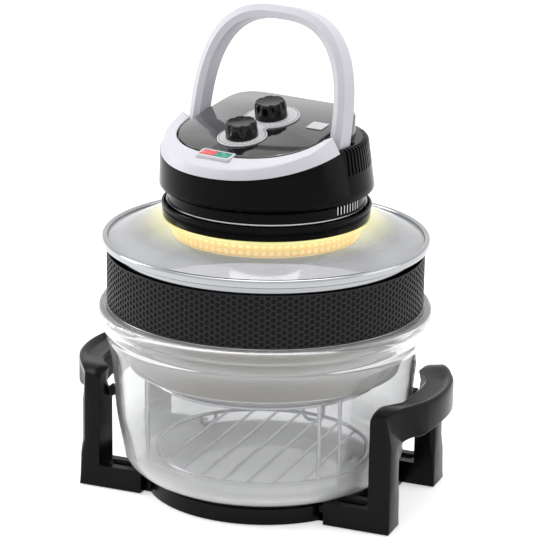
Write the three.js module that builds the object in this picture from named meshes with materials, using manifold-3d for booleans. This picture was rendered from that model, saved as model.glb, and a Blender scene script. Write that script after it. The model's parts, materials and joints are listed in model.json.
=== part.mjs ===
// Countertop mini oven: a glass bowl in a stand with two grips, an extender ring, and a
// glass lid with a heater head, two knobs and a carry handle.
// Units are millimetres, +Z is up and the front is -Y. The origin is on the bowl's axis,
// at the surface that the oven stands on.

import * as THREE from 'three';
import { mergeVertices } from 'three/addons/utils/BufferGeometryUtils.js';
import Module from 'manifold-3d';

const wasm = await Module();
wasm.setup();

// Fits, angles and facets
const clearance = 0.3;
const looseFit = 0.6;
const overrun = 2;
const weldTolerance = 1e-4;
const quarterTurn = 90;
const fullTurn = 4 * quarterTurn;
const ringSides = 40;
const smallSides = 12;
const middleSides = 24;
const wireSides = 5;
const discSides = 32;
const cornerSteps = 3;

// Glass bowl: its mouth sets the size of the stand, racks, tray, extender ring, lid and head
const bowlMouthRadius = 158.55;
const bowlBottom = 22;
const bowlWall = 5;
const bowlCornerRadius = 26;
const bowlCornerLean = 8;
const bowlCornerAngles = [-90, -68, -46, -26];
const bowlWallFoot = 45;
const bowlWallRise = 115;
const bowlWallSpread = 15.8;
const bowlWallShares = [[0.3, 0.38], [0.54, 0.52], [0.74, 0.645], [0.87, 0.79], [1, 1]];
const rimHeight = 34.5;
const rimFlare = 7.7;
const rimShares = [[0.23, 0.29], [0.52, 0.74], [0.81, 1], [0.957, 0.8], [1, 0.48]];

// Stand
const footHeight = 1;
const baseOverhang = 1.2;
const baseWidth = 30.2;
const baseHeight = 17.5;
const baseWall = 3;
const beadInset = 5.2;
const beadWidth = 4.5;
const earLength = 14.8;
const earInset = 9;
const earTop = 10;
const armLap = 20.2;
const armInnerY = 53;
const armWidth = 31.5;
const armTop = 24;
const grooveWidth = 12;
const grooveDepth = 3;
const grooveMargin = 5;
const postGap = 0.72;
const postDepth = 22;
const postCorner = 10;
const gripBottom = 94;
const gripHeight = 33.6;
const gripChamfer = 6.6;
const fingerGap = 9.3;
const gripWidth = 32.5;
const gripOuterRadius = 121;
const gripOuterSteps = 16;
const gripInnerRadius = 255;
const gripInnerSteps = 6;
const footPadRadius = 8;
const footPadSeat = 1.5;
const bowlPadWidth = 9;
const bowlPadDrop = 2;
const bowlPadHeight = 10;
const bowlPadReach = 5;
const bowlPadInset = 4;
const screwShankRadius = 2;
const screwHeadRadius = 4;
const screwHeadHeight = 3;
const screwReach = 18;

// Racks and tray
const wireRadius = 2;
const thinWireRadius = 1.5;
const lowRackInset = 10;
const lowRackHeight = 40;
const lowRackWireCount = 7;
const lowRackSpanShare = 1.344;
const lowFootWidth = 18;
const highRackLegWidth = 24;
const highRackBend = 8;
const highRackLegAngles = [-35, -155, 85];
const lowRackFootAngles = [25, 145, 265];
const trayBottom = 125;
const trayHeight = 11;
const trayGap = 0.75;
const trayFlare = 18;
const trayWall = 1.2;
const trayLip = 4;

// Extender ring
const hoopGap = 1.05;
const hoopWall = 1.5;
const hoopLap = 7.5;
const hoopRise = 61.2;
const hoopShelf = 1;
const hoopShelfLip = 0.5;
const bandStep = 5.5;
const bandWall = 1.5;
const bandInset = 8.9;

// Lid
const lidOverhang = 10;
const lidRimHeight = 8.2;
const lidRimWidth = 5.4;
const lidRimCornerShare = 0.35;
const lidLedgeWidth = 12;
const lidLedge = 1;
const lidGlass = 4;
const lidGlassSeatShare = 0.65689;
const lidGlassTopRise = 22.4;
const lidGlassSeat = 0.5;
const lidGlassInset = 3;
const lidGlassShares = [[0, 0], [0.5, 0.49], [1, 1]];
const gasketHeight = 1;

// Collar and head: the collar stands inside the lid's glass and sets the size of the rest
const headTurn = -12;
const shoulderOverhang = 8.2;
const collarOverhang = 6;
const collarTaper = 1.5;
const collarHeight = 14.1;
const collarWall = 2.5;
const collarFloor = 2.5;
const shaftHoleRadius = 12;
const slotHeight = 2.6;
const housingWall = 3;
const housingNeckShares = [[0, 0], [0.66, 0.07], [0.82, 0.42], [1, 1]];
const housingShoulderRise = 15;
const housingMiddleShare = 0.5;
const ledgeRise = 49;
const ledgeSideInset = 8.2;
const ledgeEndInset = 3.2;
const ledgeCentreY = -5;
const ledgePower = 2.15;
const ledgeThickness = 2.5;
const ledgeBevel = 4;
const trimEndY = -20;
const trimPlaneRise = 3.3;
const trimPlaneSlope = 0.228;
const neckVentCount = 7;
const neckVentCentre = -2.8;
const neckVentStep = 2.7;
const neckVentWidth = 2.4;
const neckVentHeight = 10;
const sideVentCount = 13;
const sideVentFirst = -5.5;
const sideVentStep = 3.45;
const sideVentWidth = 2;
const sideVentHeight = 21;

// Pod, panel and trim
const panelRise = 13.6;
const panelTilt = 10.8;
const panelThickness = 2.4;
const podSetback = 7;
const podEndInset = 28;
const podRearEndInset = 30;
const podLegGap = 1;
const podFrontStep = 2.9;
const podBlendStart = -30;
const podBlendEnd = -20;
const podPower = 2.4;
const podRearPower = 6;
const podWall = 2.5;
const podDrop = 15;
const podFrontDrop = 12;
const podSides = 56;
const panelInset = 1.2;
const trimCreaseSideInset = 5;
const trimCreaseEndInset = 3.5;
const trimCreaseRise = 18.4;
const trimCreaseSlope = 0.29;
const trimSkin = 3;
const trimSteps = 26;

// Controls, their places as shares of the pod's half length or half width
const timerKnobShare = -0.4333;
const timerKnobRadius = 15.9;
const timerKnobHeight = 16;
const heatKnobShare = 0.2467;
const heatKnobRadius = 16.1;
const heatKnobHeight = 17.5;
const knobNotchCount = 7;
const knobNotchDepth = 1.6;
const knobNotchPower = 16;
const knobSides = 56;
const knobShoulderShare = 0.8;
const knobTopShare = 0.93;
const timerPlateShare = 0.3253;
const heatPlateShare = 0.376;
const plateWaist = 25;
const plateThickness = 1.2;
const spindleRadius = 3;
const spindleInKnob = 9;
const spindleInBody = 10;
const spindleHoleDepth = 12.4;
const controlBodyGap = 17.2;
const controlBodyHeight = 18;
const bezelLength = 38;
const bezelWidth = 15;
const bezelInset = -2;
const bezelStand = 0.8;
const lensLength = 16;
const lensWidth = 10;
const lensSpacing = 16.8;
const lensStand = 0.7;
const labelLength = 18;
const labelWidth = 15;
const labelThickness = 0.8;
const labelShareX = 0.7275;
const labelSetback = 1.5;

// Carry handle
const pivotY = 0;
const pivotRise = 3;
const handleLean = 12;
const handleLedgeInset = 8;
const handleHeight = 123;
const handlePower = 2.77;
const handleThickness = 13.4;
const handleDepth = 21;
const handleRidge = 3;
const handleFootDrop = 18;
const handleSteps = 28;
const pocketMargin = 1.6;
const pocketRoom = 4;
const pocketFloor = 2.2;
const pinRadius = 3;
const pinHeadRadius = 4;
const pinHead = 3;
const pinInLeg = 9;
const switchSize = [16, 9, 12];

// Heater and fans
const reflectorInset = 2;
const reflectorWall = 1.2;
const reflectorFlange = 5;
const reflectorDepth = 15;
const reflectorHole = 8;
const guardThickness = 1.5;
const guardHoleCount = 12;
const guardHoleRadius = 7;
const guardHoleSides = 6;
const guardRingShares = [0.28, 0.6, 0.84];
const tubeRingShare = 0.71;
const tubeRadius = 4.5;
const tubeDrop = 8;
const tubeGap = 40;
const tubeSteps = 26;
const tubeSides = 8;
const holderLength = 14;
const holderWidth = 14;
const shaftRadius = 3;
const motorRadius = 28;
const motorHeight = 30;
const motorBossRadius = 9;
const motorBossHeight = 4;
const fanHubRadius = 9;
const fanHubHeight = 9;
const fanBladeCount = 6;
const bladeThickness = 1.4;
const bladePitch = 32;
const coolingFanRadius = 44;
const convectionFanGap = 11.5;
const fanGap = 2;
const glandRadius = 6.5;
const glandBore = 3.6;
const glandLength = 26;
const glandRise = 10;

// Surfaces
const surfaces = {
  standPlastic: { color: 0x1b1b1e, roughness: 0.45, metalness: 0 },
  rubber: { color: 0x141414, roughness: 0.9, metalness: 0 },
  glass: { color: 0xe8eef0, roughness: 0.05, metalness: 0, transparent: true, opacity: 0.35 },
  steel: { color: 0xc9cbce, roughness: 0.25, metalness: 1 },
  trayMetal: { color: 0xd2d3d6, roughness: 0.35, metalness: 1 },
  bandPaint: { color: 0x2a2a2c, roughness: 0.5, metalness: 0.3 },
  headPlastic: { color: 0x0c0c0e, roughness: 0.25, metalness: 0 },
  trimPlastic: { color: 0xd7d5dc, roughness: 0.4, metalness: 0 },
  panelGloss: { color: 0x1a1a1c, roughness: 0.12, metalness: 0 },
  redLens: { color: 0xe05050, roughness: 0.2, metalness: 0 },
  greenLens: { color: 0x1e967d, roughness: 0.2, metalness: 0 },
  lampGlass: { color: 0xfff2b0, roughness: 0.1, metalness: 0, emissive: 0xffe89a },
  ceramic: { color: 0xeee9dc, roughness: 0.7, metalness: 0 },
  aluminium: { color: 0xb8babd, roughness: 0.4, metalness: 1 },
};
const materials = Object.fromEntries(
  Object.entries(surfaces).map(([name, look]) => [name, new THREE.MeshStandardMaterial(look)]),
);

// Worked-out bowl, stand, rack and tray sizes
const wallFootRadius = bowlMouthRadius - bowlWallSpread;
const bowlCornerCentre = wallFootRadius
  - bowlCornerRadius * Math.cos(THREE.MathUtils.degToRad(bowlCornerLean));
const bowlFloor = bowlBottom + bowlWall;
const rimTop = bowlWallFoot + bowlWallRise + rimHeight;
const beadTop = bowlBottom - clearance;
const baseRadius = bowlCornerCentre + baseOverhang;
const baseInnerRadius = baseRadius - baseWidth;
const beadRadius = baseRadius - beadInset;
const earReach = baseRadius + earLength;
const armInnerX = baseRadius - armLap;
const armOuterY = armInnerY + armWidth;
const earHalfWidth = armOuterY - earInset;
const screwX = (armInnerX + earReach) / 2;
const gripTop = gripBottom + gripHeight;
const gripInnerTop = gripTop - gripChamfer;
const postInnerX = Math.sqrt((bowlRadiusAt(gripTop) + postGap) ** 2 - armInnerY ** 2);
const armOuterX = postInnerX + postDepth;
const gripInnerX = bowlRadiusAt(gripTop) + fingerGap;
const gripOuterCentre = gripInnerX + gripWidth - gripOuterRadius;
const bowlPadBottom = gripBottom - bowlPadDrop;
const bowlPadY = armInnerY + bowlPadInset;
const highRackRadius = bowlCornerCentre;
const lowRackRadius = bowlCornerCentre - lowRackInset;
const trayRimRadius = wallFootRadius - bowlWall - trayGap;
const trayFloorRadius = trayRimRadius - trayFlare;

// Worked-out extender ring and lid sizes
const shelfBottom = rimTop + clearance;
const bandBottom = shelfBottom + hoopShelf + clearance;
const hoopRadius = bowlMouthRadius - bowlWall - hoopGap;
const hoopBottom = rimTop - hoopLap;
const hoopTop = shelfBottom + hoopRise;
const bandRadius = hoopRadius + bandStep;
const hoopShelfWidth = bandStep + hoopShelfLip;
const bandHeight = hoopRise - bandInset;
const lidBottom = hoopTop + clearance;
const lidRimRadius = hoopRadius + lidOverhang;
const lidGlassBottom = lidBottom + lidLedge + clearance;
const lidGlassEdge = lidRimRadius - lidRimWidth - clearance;
const lidSeat = lidGlassBottom + lidGlass + lidGlassTopRise;
const lidGlassSeatRadius = lidGlassSeatShare * lidGlassEdge;
const collarFootRadius = lidGlassSeatRadius - lidGlassSeat;
const collarTopRadius = collarFootRadius + collarTaper;
const neckRadius = collarTopRadius - collarOverhang;
const housingShoulderRadius = neckRadius + shoulderOverhang;
const lidGlassHole = neckRadius - lidGlassInset;
const gasketBottom = lidSeat + clearance;
const collarFoot = lidSeat + clearance;
const collarFloorBottom = gasketBottom + gasketHeight + clearance;
const collarFloorTop = collarFloorBottom + collarFloor;
const collarTop = collarFoot + collarHeight;

// Worked-out head, pod, handle and heater sizes
const neckFoot = collarTop + slotHeight;
const shoulderZ = neckFoot + housingShoulderRise;
const ledgeZ = shoulderZ + ledgeRise;
const ledgeHalfWidth = housingShoulderRadius - ledgeSideInset;
const ledgeHalfLength = housingShoulderRadius - ledgeEndInset;
const trimPlaneZ = ledgeZ + trimPlaneRise;
const trimCreaseZ = ledgeZ + trimCreaseRise;
const trimCreaseHalfWidth = ledgeHalfWidth - trimCreaseSideInset;
const trimCreaseHalfLength = ledgeHalfLength - trimCreaseEndInset;
const handleHalfWidth = ledgeHalfWidth - handleLedgeInset;
const pivotZ = ledgeZ + pivotRise;
const pocketHalfLength = handleFootDrop + pocketMargin;
const pocketDepth = handleFootDrop - pivotRise + pocketRoom;
const tilt = THREE.MathUtils.degToRad(panelTilt);
const panelZ = ledgeZ + panelRise;
const podBottom = ledgeZ - podDrop;
const podCentreY = ledgeCentreY - podSetback;
const podHalfLength = ledgeHalfLength - podEndInset;
const podRearHalfLength = ledgeHalfLength - podRearEndInset;
const podRearHalfWidth = handleHalfWidth - handleThickness - podLegGap;
const podFrontHalfWidth = podRearHalfWidth + podFrontStep;
const timerKnobY = podCentreY + timerKnobShare * podHalfLength;
const heatKnobY = podCentreY + heatKnobShare * podHalfLength;
const controlBodyWidth = heatKnobY - timerKnobY - controlBodyGap;
const timerPlateRadius = timerPlateShare * podHalfLength;
const heatPlateRadius = heatPlateShare * podHalfLength;
const bezelY = podCentreY - podHalfLength + bezelInset;
const labelX = labelShareX * podRearHalfWidth;
const labelY = heatKnobY - labelSetback;
const lampTop = lidSeat - lidGlass - clearance;
const reflectorRadius = lidGlassHole - reflectorInset;
const tubeRingRadius = tubeRingShare * reflectorRadius;
const convectionFanRadius = tubeRingRadius - tubeRadius - convectionFanGap;
const glandZ = shoulderZ + glandRise;

const radians = THREE.MathUtils.degToRad;

// Turns a closed geometry into a solid that can be cut and joined.
function solidOf(geometry) {
  const bare = geometry.clone();
  bare.deleteAttribute('normal');
  bare.deleteAttribute('uv');
  const merged = mergeVertices(bare, weldTolerance);
  const corners = merged.index.array;
  const kept = [];
  for (let at = 0; at < corners.length; at += 3) {
    const [a, b, c] = corners.slice(at, at + 3);
    if (a !== b && b !== c && a !== c) kept.push(a, b, c);
  }
  return new wasm.Manifold(new wasm.Mesh({
    numProp: 3,
    vertProperties: new Float32Array(merged.attributes.position.array),
    triVerts: new Uint32Array(kept),
  }));
}

// Turns a solid back into a geometry for a mesh.
function geometryOf(solid) {
  const mesh = solid.getMesh();
  const geometry = new THREE.BufferGeometry();
  geometry.setAttribute('position', new THREE.BufferAttribute(mesh.vertProperties, 3));
  geometry.setIndex(new THREE.BufferAttribute(mesh.triVerts, 1));
  geometry.computeVertexNormals();
  return geometry;
}

// Adds a named piece to a group.
function addPiece(group, name, solid, material) {
  const mesh = new THREE.Mesh(geometryOf(solid), material);
  mesh.name = name;
  group.add(mesh);
  return mesh;
}

// A box between two corners.
function boxBetween(low, high) {
  const size = high.map((value, axis) => value - low[axis]);
  const geometry = new THREE.BoxGeometry(...size);
  geometry.translate(...high.map((value, axis) => (value + low[axis]) / 2));
  return solidOf(geometry);
}

// A solid of revolution about Z from a closed profile of radius and height pairs.
function turned(profile, sides = ringSides) {
  const points = profile.map(([radius, height]) => new THREE.Vector2(radius, height));
  const closed = [...points, points[0].clone()];
  const geometry = new THREE.LatheGeometry(closed, sides);
  geometry.rotateX(Math.PI / 2);
  const solid = solidOf(geometry);
  return solid.volume() < 0 ? flipped(geometry) : solid;
}

// The same surface with its faces turned the other way.
function flipped(geometry) {
  const copy = geometry.clone();
  const corners = copy.index.array;
  for (let at = 0; at < corners.length; at += 3) {
    [corners[at], corners[at + 1]] = [corners[at + 1], corners[at]];
  }
  return solidOf(copy);
}

// A cylinder along Z between two heights.
function rod(radius, bottom, top, sides = smallSides, x = 0, y = 0) {
  const geometry = new THREE.CylinderGeometry(radius, radius, top - bottom, sides);
  geometry.rotateX(Math.PI / 2);
  geometry.translate(x, y, (top + bottom) / 2);
  return solidOf(geometry);
}

// A cylinder along X between two places.
function crossRod(radius, left, right, y, z, sides = smallSides) {
  const geometry = new THREE.CylinderGeometry(radius, radius, right - left, sides);
  geometry.rotateZ(Math.PI / 2);
  geometry.translate((left + right) / 2, y, z);
  return solidOf(geometry);
}

// An upright prism from plan points, in order round the outline.
function prism(points, bottom, top) {
  const shape = new THREE.Shape(points.map(([x, y]) => new THREE.Vector2(x, y)));
  const geometry = new THREE.ExtrudeGeometry(shape, { depth: top - bottom, bevelEnabled: false });
  geometry.translate(0, 0, bottom);
  return solidOf(geometry);
}

// A closed skin through rings of points, capped at both ends with a fan.
function loft(rings) {
  const count = rings[0].length;
  const positions = rings.flat(2);
  const index = [];
  for (let ring = 0; ring < rings.length - 1; ring += 1) {
    for (let at = 0; at < count; at += 1) {
      const side = (at + 1) % count;
      const [a, b] = [ring * count + at, ring * count + side];
      const [c, d] = [b + count, a + count];
      index.push(a, b, c, a, c, d);
    }
  }
  const last = (rings.length - 1) * count;
  for (let at = 1; at < count - 1; at += 1) {
    index.push(0, at + 1, at, last, last + at, last + at + 1);
  }
  const geometry = new THREE.BufferGeometry();
  geometry.setAttribute('position', new THREE.Float32BufferAttribute(positions, 3));
  geometry.setIndex(index);
  const solid = solidOf(geometry);
  return solid.volume() < 0 ? flipped(geometry) : solid;
}

// A wire of round section along points that lie in one plane, with mitred bends.
function wire(points, radius, planeNormal, sides = wireSides) {
  const places = points.map((point) => new THREE.Vector3(...point));
  const normal = new THREE.Vector3(...planeNormal);
  const last = places.length - 1;
  const rings = places.map((place, at) => {
    const before = places[at].clone().sub(places[Math.max(at - 1, 0)]).normalize();
    const after = places[Math.min(at + 1, last)].clone().sub(place).normalize();
    const along = before.clone().add(after).normalize();
    const mitre = at === 0 || at === last ? 1 : 1 / along.dot(after);
    const across = normal.clone().cross(along).multiplyScalar(mitre);
    return Array.from({ length: sides }, (_, side) => {
      const angle = (side / sides) * 2 * Math.PI;
      return place.clone()
        .addScaledVector(normal, radius * Math.cos(angle))
        .addScaledVector(across, radius * Math.sin(angle))
        .toArray();
    });
  });
  return loft(rings);
}

// A round hoop of wire about Z, as a turned section.
function wireHoop(ringRadius, height, radius, sides = ringSides) {
  const profile = [];
  for (let at = 0; at < wireSides; at += 1) {
    const angle = (at / wireSides) * 2 * Math.PI;
    profile.push([ringRadius + radius * Math.cos(angle), height + radius * Math.sin(angle)]);
  }
  return turned(profile, sides);
}

// Joins a list of solids.
function joined(solids) {
  return solids.reduce((whole, solid) => whole.add(solid));
}

// A solid turned about Z by degrees.
function spun(solid, degrees) {
  return solid.rotate([0, 0, degrees]);
}

// Signed power that keeps a superellipse's quadrants.
function signedPower(value, power) {
  return Math.sign(value) * Math.abs(value) ** power;
}

// Plan points of a superellipse.
function superellipse(halfX, halfY, power, centreY, sides) {
  const points = [];
  for (let at = 0; at < sides; at += 1) {
    const angle = (at / sides) * 2 * Math.PI;
    points.push([
      halfX * signedPower(Math.cos(angle), 2 / power),
      centreY + halfY * signedPower(Math.sin(angle), 2 / power),
    ]);
  }
  return points;
}

// The base ring: an inverted channel with a bead for the bowl, and an ear on each side.
function makeBaseRing() {
  const shell = turned([
    [baseRadius, footHeight],
    [baseRadius, baseHeight - baseWall],
    [baseRadius - baseWall, baseHeight],
    [beadRadius + beadWidth / 2, baseHeight],
    [beadRadius + beadWidth / 4, beadTop],
    [beadRadius - beadWidth / 4, beadTop],
    [beadRadius - beadWidth / 2, baseHeight],
    [baseInnerRadius, baseHeight],
    [baseInnerRadius, footHeight],
    [baseInnerRadius + baseWall, footHeight],
    [baseInnerRadius + baseWall, baseHeight - baseWall],
    [baseRadius - baseWall, baseHeight - baseWall],
    [baseRadius - baseWall, footHeight],
  ]);
  const ear = boxBetween([-earReach, -earHalfWidth, footHeight], [earReach, earHalfWidth, earTop]);
  const shoulders = boxBetween(
    [-armInnerX + clearance, -earHalfWidth, footHeight],
    [armInnerX - clearance, earHalfWidth, baseHeight],
  );
  const shoulderGap = boxBetween(
    [-earReach, -armInnerY, footHeight - overrun],
    [earReach, armInnerY, baseHeight + overrun],
  );
  const bore = rod(baseRadius - baseWall, footHeight - overrun, beadTop + overrun, ringSides);
  const ears = ear.add(shoulders.subtract(shoulderGap)).subtract(bore);
  return screwPlaces().reduce((whole, [x, y]) => whole
    .subtract(rod(screwShankRadius + clearance, 0, earTop + overrun, smallSides, x, y))
    .subtract(rod(screwHeadRadius + clearance, 0, footHeight + screwHeadHeight + clearance,
      smallSides, x, y)), shell.add(ears));
}

// Plan places of the four screws that hold the side handles.
function screwPlaces() {
  const y = (armInnerY + earHalfWidth) / 2;
  return [[screwX, -y], [screwX, y], [-screwX, -y], [-screwX, y]];
}

// Plan points of an arc about a centre on the X axis, from one Y to another.
function planArc(centreX, radius, fromY, toY, steps) {
  const start = Math.asin(fromY / radius);
  const end = Math.asin(toY / radius);
  const points = [];
  for (let at = 0; at <= steps; at += 1) {
    const angle = start + (end - start) * (at / steps);
    points.push([centreX + radius * Math.cos(angle), radius * Math.sin(angle)]);
  }
  return points;
}

// A post's plan: square inside, rounded at its two outer corners.
function postPlan(innerY, outerY) {
  const points = [[postInnerX, innerY]];
  const corners = [[armOuterX - postCorner, innerY + postCorner, -quarterTurn],
    [armOuterX - postCorner, outerY - postCorner, 0]];
  for (const [x, y, start] of corners) {
    for (let at = 0; at <= cornerSteps; at += 1) {
      const angle = radians(start + (at / cornerSteps) * quarterTurn);
      points.push([x + postCorner * Math.cos(angle), y + postCorner * Math.sin(angle)]);
    }
  }
  points.push([postInnerX, outerY]);
  return points;
}

// The side handle on the +X side: two arms, two posts and a bowed grip.
function makeSideHandle() {
  const gripPlan = [
    ...planArc(gripOuterCentre, gripOuterRadius, -armOuterY, armOuterY, gripOuterSteps),
    [postInnerX, armOuterY],
    [postInnerX, armInnerY],
    ...planArc(gripInnerX - gripInnerRadius, gripInnerRadius, armInnerY, -armInnerY, gripInnerSteps),
    [postInnerX, -armInnerY],
    [postInnerX, -armOuterY],
  ];
  const grip = prism(gripPlan, gripBottom, gripTop);
  const slopeLength = gripInnerX + gripTop - gripInnerTop - postInnerX;
  const chamfer = loft([-armOuterY - overrun, armOuterY + overrun].map((y) => [
    [postInnerX - overrun, y, gripInnerTop],
    [postInnerX - overrun, y, gripTop + overrun],
    [postInnerX + slopeLength, y, gripTop + overrun],
    [postInnerX + slopeLength, y, gripTop],
    [postInnerX, y, gripInnerTop],
  ]));
  const sides = [1, -1].map((sign) => {
    const arm = boxBetween([armInnerX, armInnerY, footHeight], [armOuterX - postCorner, armOuterY, armTop]);
    const post = prism(postPlan(armInnerY, armOuterY), footHeight, gripBottom + overrun);
    const middle = (armInnerY + armOuterY) / 2;
    const groove = boxBetween(
      [armInnerX + grooveMargin, middle - grooveWidth / 2, armTop - grooveDepth],
      [postInnerX - grooveMargin, middle + grooveWidth / 2, armTop + overrun],
    );
    const pad = rod(footPadRadius + clearance, 0, footHeight + footPadSeat, smallSides,
      footPadX(), middle);
    const side = arm.add(post).subtract(groove).subtract(pad);
    return sign > 0 ? side : side.mirror([0, 1, 0]);
  });
  const ear = boxBetween(
    [0, -earHalfWidth - clearance, 0],
    [earReach + clearance, earHalfWidth + clearance, earTop + clearance],
  );
  const ring = rod(baseRadius + clearance, 0, beadTop + overrun, ringSides);
  const body = joined([grip.subtract(chamfer), ...sides]).subtract(ear).subtract(ring)
    .subtract(bowlFootSpace());
  return screwPlaces().filter(([x]) => x > 0).reduce((whole, [x, y]) => whole.subtract(
    rod(screwShankRadius + clearance, 0, screwReach + clearance, smallSides, x, y)), body);
}

// How far out the foot pads lie, under the posts.
function footPadX() {
  return (postInnerX + armOuterX) / 2;
}

// The stand's pieces.
function addStand(group) {
  addPiece(group, 'base_ring', makeBaseRing(), materials.standPlastic);
  const handle = makeSideHandle();
  addPiece(group, 'side_handle_right', handle, materials.standPlastic);
  addPiece(group, 'side_handle_left', handle.mirror([1, 0, 0]), materials.standPlastic);
  const middle = (armInnerY + armOuterY) / 2;
  const wallTop = bowlPadBottom + bowlPadHeight;
  const bowlSpace = rod(bowlRadiusAt(wallTop) + clearance, bowlPadBottom - overrun, wallTop + overrun,
    ringSides);
  const corners = [['front_right', 1, -1], ['front_left', -1, -1], ['rear_right', 1, 1],
    ['rear_left', -1, 1]];
  for (const [name, signX, signY] of corners) {
    const foot = rod(footPadRadius, 0, footHeight + footPadSeat - clearance, smallSides,
      signX * footPadX(), signY * middle);
    addPiece(group, `foot_pad_${name}`, foot, materials.rubber);
    const padX = [postInnerX - bowlPadReach, postInnerX - clearance];
    const padY = [bowlPadY - bowlPadWidth / 2, bowlPadY + bowlPadWidth / 2];
    const block = boxBetween([padX[0], padY[0], bowlPadBottom], [padX[1], padY[1], wallTop]);
    const pad = block.subtract(bowlSpace).scale([signX, signY, 1]);
    addPiece(group, `bowl_pad_${name}`, pad, materials.rubber);
    const screwY = (armInnerY + earHalfWidth) / 2;
    const screw = rod(screwHeadRadius, footHeight, footHeight + screwHeadHeight)
      .add(rod(screwShankRadius, footHeight, screwReach))
      .translate([signX * screwX, signY * screwY, 0]);
    addPiece(group, `stand_screw_${name}`, screw, materials.steel);
  }
}

// The space that the bowl's bottom and corner need, a loose fit larger than the glass.
function bowlFootSpace() {
  return turned([
    [0, bowlBottom - looseFit],
    ...bowlCorner(bowlCornerRadius + looseFit),
    [wallFootRadius + looseFit, bowlWallFoot],
    [0, bowlWallFoot],
  ]);
}

// Outer radius of the bowl's wall at a height, between its table points.
function bowlRadiusAt(height) {
  const points = bowlWallPoints();
  for (let at = 1; at < points.length; at += 1) {
    const [[r0, z0], [r1, z1]] = [points[at - 1], points[at]];
    if (height <= z1) return r0 + (r1 - r0) * Math.max(0, (height - z0) / (z1 - z0));
  }
  return bowlMouthRadius;
}

// The bowl's outer wall as radius and height pairs, from its corner up.
function bowlWallPoints() {
  return [[wallFootRadius, bowlWallFoot], ...bowlWallShares.map(([rise, spread]) => [
    wallFootRadius + spread * bowlWallSpread,
    bowlWallFoot + rise * bowlWallRise,
  ])];
}

// The corner arc of the bowl for an outer or inner radius, as radius and height pairs.
function bowlCorner(radius) {
  const centreZ = bowlBottom + bowlCornerRadius;
  return bowlCornerAngles.map((degrees) => [
    bowlCornerCentre + radius * Math.cos(radians(degrees)),
    centreZ + radius * Math.sin(radians(degrees)),
  ]);
}

// The glass bowl with its thickened rim.
function makeBowl() {
  const outerRim = rimShares.map(([rise, flare]) => [
    bowlMouthRadius + flare * rimFlare,
    bowlWallFoot + bowlWallRise + rise * rimHeight,
  ]);
  const inner = bowlWallPoints().map(([radius, height]) => [radius - bowlWall, height]);
  return turned([
    [0, bowlBottom],
    ...bowlCorner(bowlCornerRadius),
    ...bowlWallPoints(),
    ...outerRim,
    [bowlMouthRadius - bowlWall, rimTop],
    ...inner.reverse(),
    ...bowlCorner(bowlCornerRadius - bowlWall).reverse(),
    [0, bowlFloor],
  ]);
}

// A U of wire that stands under a rack ring: down, across and up, rounded at the bottom.
function wireFoot(ringRadius, width, top, bottom, bend) {
  const half = width / 2;
  const points = [[ringRadius, -half, top]];
  for (const [centre, start] of [[-half + bend, 2 * quarterTurn], [half - bend, 3 * quarterTurn]]) {
    for (let at = 0; at <= cornerSteps; at += 1) {
      const angle = radians(start + (at / cornerSteps) * quarterTurn);
      points.push([ringRadius, centre + bend * Math.cos(angle), bottom + bend + bend * Math.sin(angle)]);
    }
  }
  points.push([ringRadius, half, top]);
  return wire(points, wireRadius, [1, 0, 0]);
}

// The low wire rack: a hoop, parallel wires and three short feet.
function makeLowRack() {
  const footZ = bowlFloor + clearance + wireRadius;
  const wires = [];
  for (let at = 0; at < lowRackWireCount; at += 1) {
    const x = (at / (lowRackWireCount - 1) - 1 / 2) * lowRackSpanShare * lowRackRadius;
    const reach = Math.sqrt(lowRackRadius ** 2 - x ** 2);
    const ends = [[x, -reach, lowRackHeight], [x, reach, lowRackHeight]];
    wires.push(wire(ends, thinWireRadius, [0, 0, 1]));
  }
  const feet = lowRackFootAngles.map((degrees) => spun(
    wireFoot(lowRackRadius, lowFootWidth, lowRackHeight, footZ, (lowRackHeight - footZ) / 2), degrees));
  return joined([wireHoop(lowRackRadius, lowRackHeight, wireRadius), ...wires, ...feet]);
}

// The high rack: a hoop on three long U legs.
function makeHighRack() {
  const footZ = bowlFloor + clearance + wireRadius;
  const hoopZ = trayBottom - clearance - wireRadius;
  const legs = highRackLegAngles.map((degrees) => spun(
    wireFoot(highRackRadius, highRackLegWidth, hoopZ, footZ, highRackBend), degrees));
  return joined([wireHoop(highRackRadius, hoopZ, wireRadius), ...legs]);
}

// The shallow tray with a turned-out lip.
function makeTray() {
  const top = trayBottom + trayHeight;
  const wallTopRadius = trayRimRadius - trayLip;
  return turned([
    [0, trayBottom],
    [trayFloorRadius, trayBottom],
    [wallTopRadius, top - trayWall],
    [trayRimRadius, top - trayWall],
    [trayRimRadius, top],
    [wallTopRadius - trayWall, top],
    [trayFloorRadius - trayWall, trayBottom + trayWall],
    [0, trayBottom + trayWall],
  ]);
}

// The bowl and what stands in it.
function addCookingSpace(group) {
  addPiece(group, 'glass_bowl', makeBowl(), materials.glass);
  addPiece(group, 'wire_rack', makeLowRack(), materials.steel);
  addPiece(group, 'high_rack', makeHighRack(), materials.steel);
  addPiece(group, 'cooking_tray', makeTray(), materials.trayMetal);
}

// The extender ring: a steel hoop with a shelf, and the band that stands on the shelf.
function addExtender(group) {
  const inner = hoopRadius - hoopWall;
  const shelfRadius = hoopRadius + hoopShelfWidth;
  const hoop = turned([
    [inner, hoopBottom],
    [hoopRadius, hoopBottom],
    [hoopRadius, shelfBottom],
    [shelfRadius, shelfBottom],
    [shelfRadius, shelfBottom + hoopShelf],
    [hoopRadius, shelfBottom + hoopShelf],
    [hoopRadius, hoopTop],
    [inner, hoopTop],
  ]);
  addPiece(group, 'extender_hoop', hoop, materials.steel);
  const band = turned([
    [bandRadius - bandWall, bandBottom],
    [bandRadius, bandBottom],
    [bandRadius, bandBottom + bandHeight],
    [bandRadius - bandWall, bandBottom + bandHeight],
  ]);
  addPiece(group, 'extender_band', band, materials.bandPaint);
}

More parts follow.
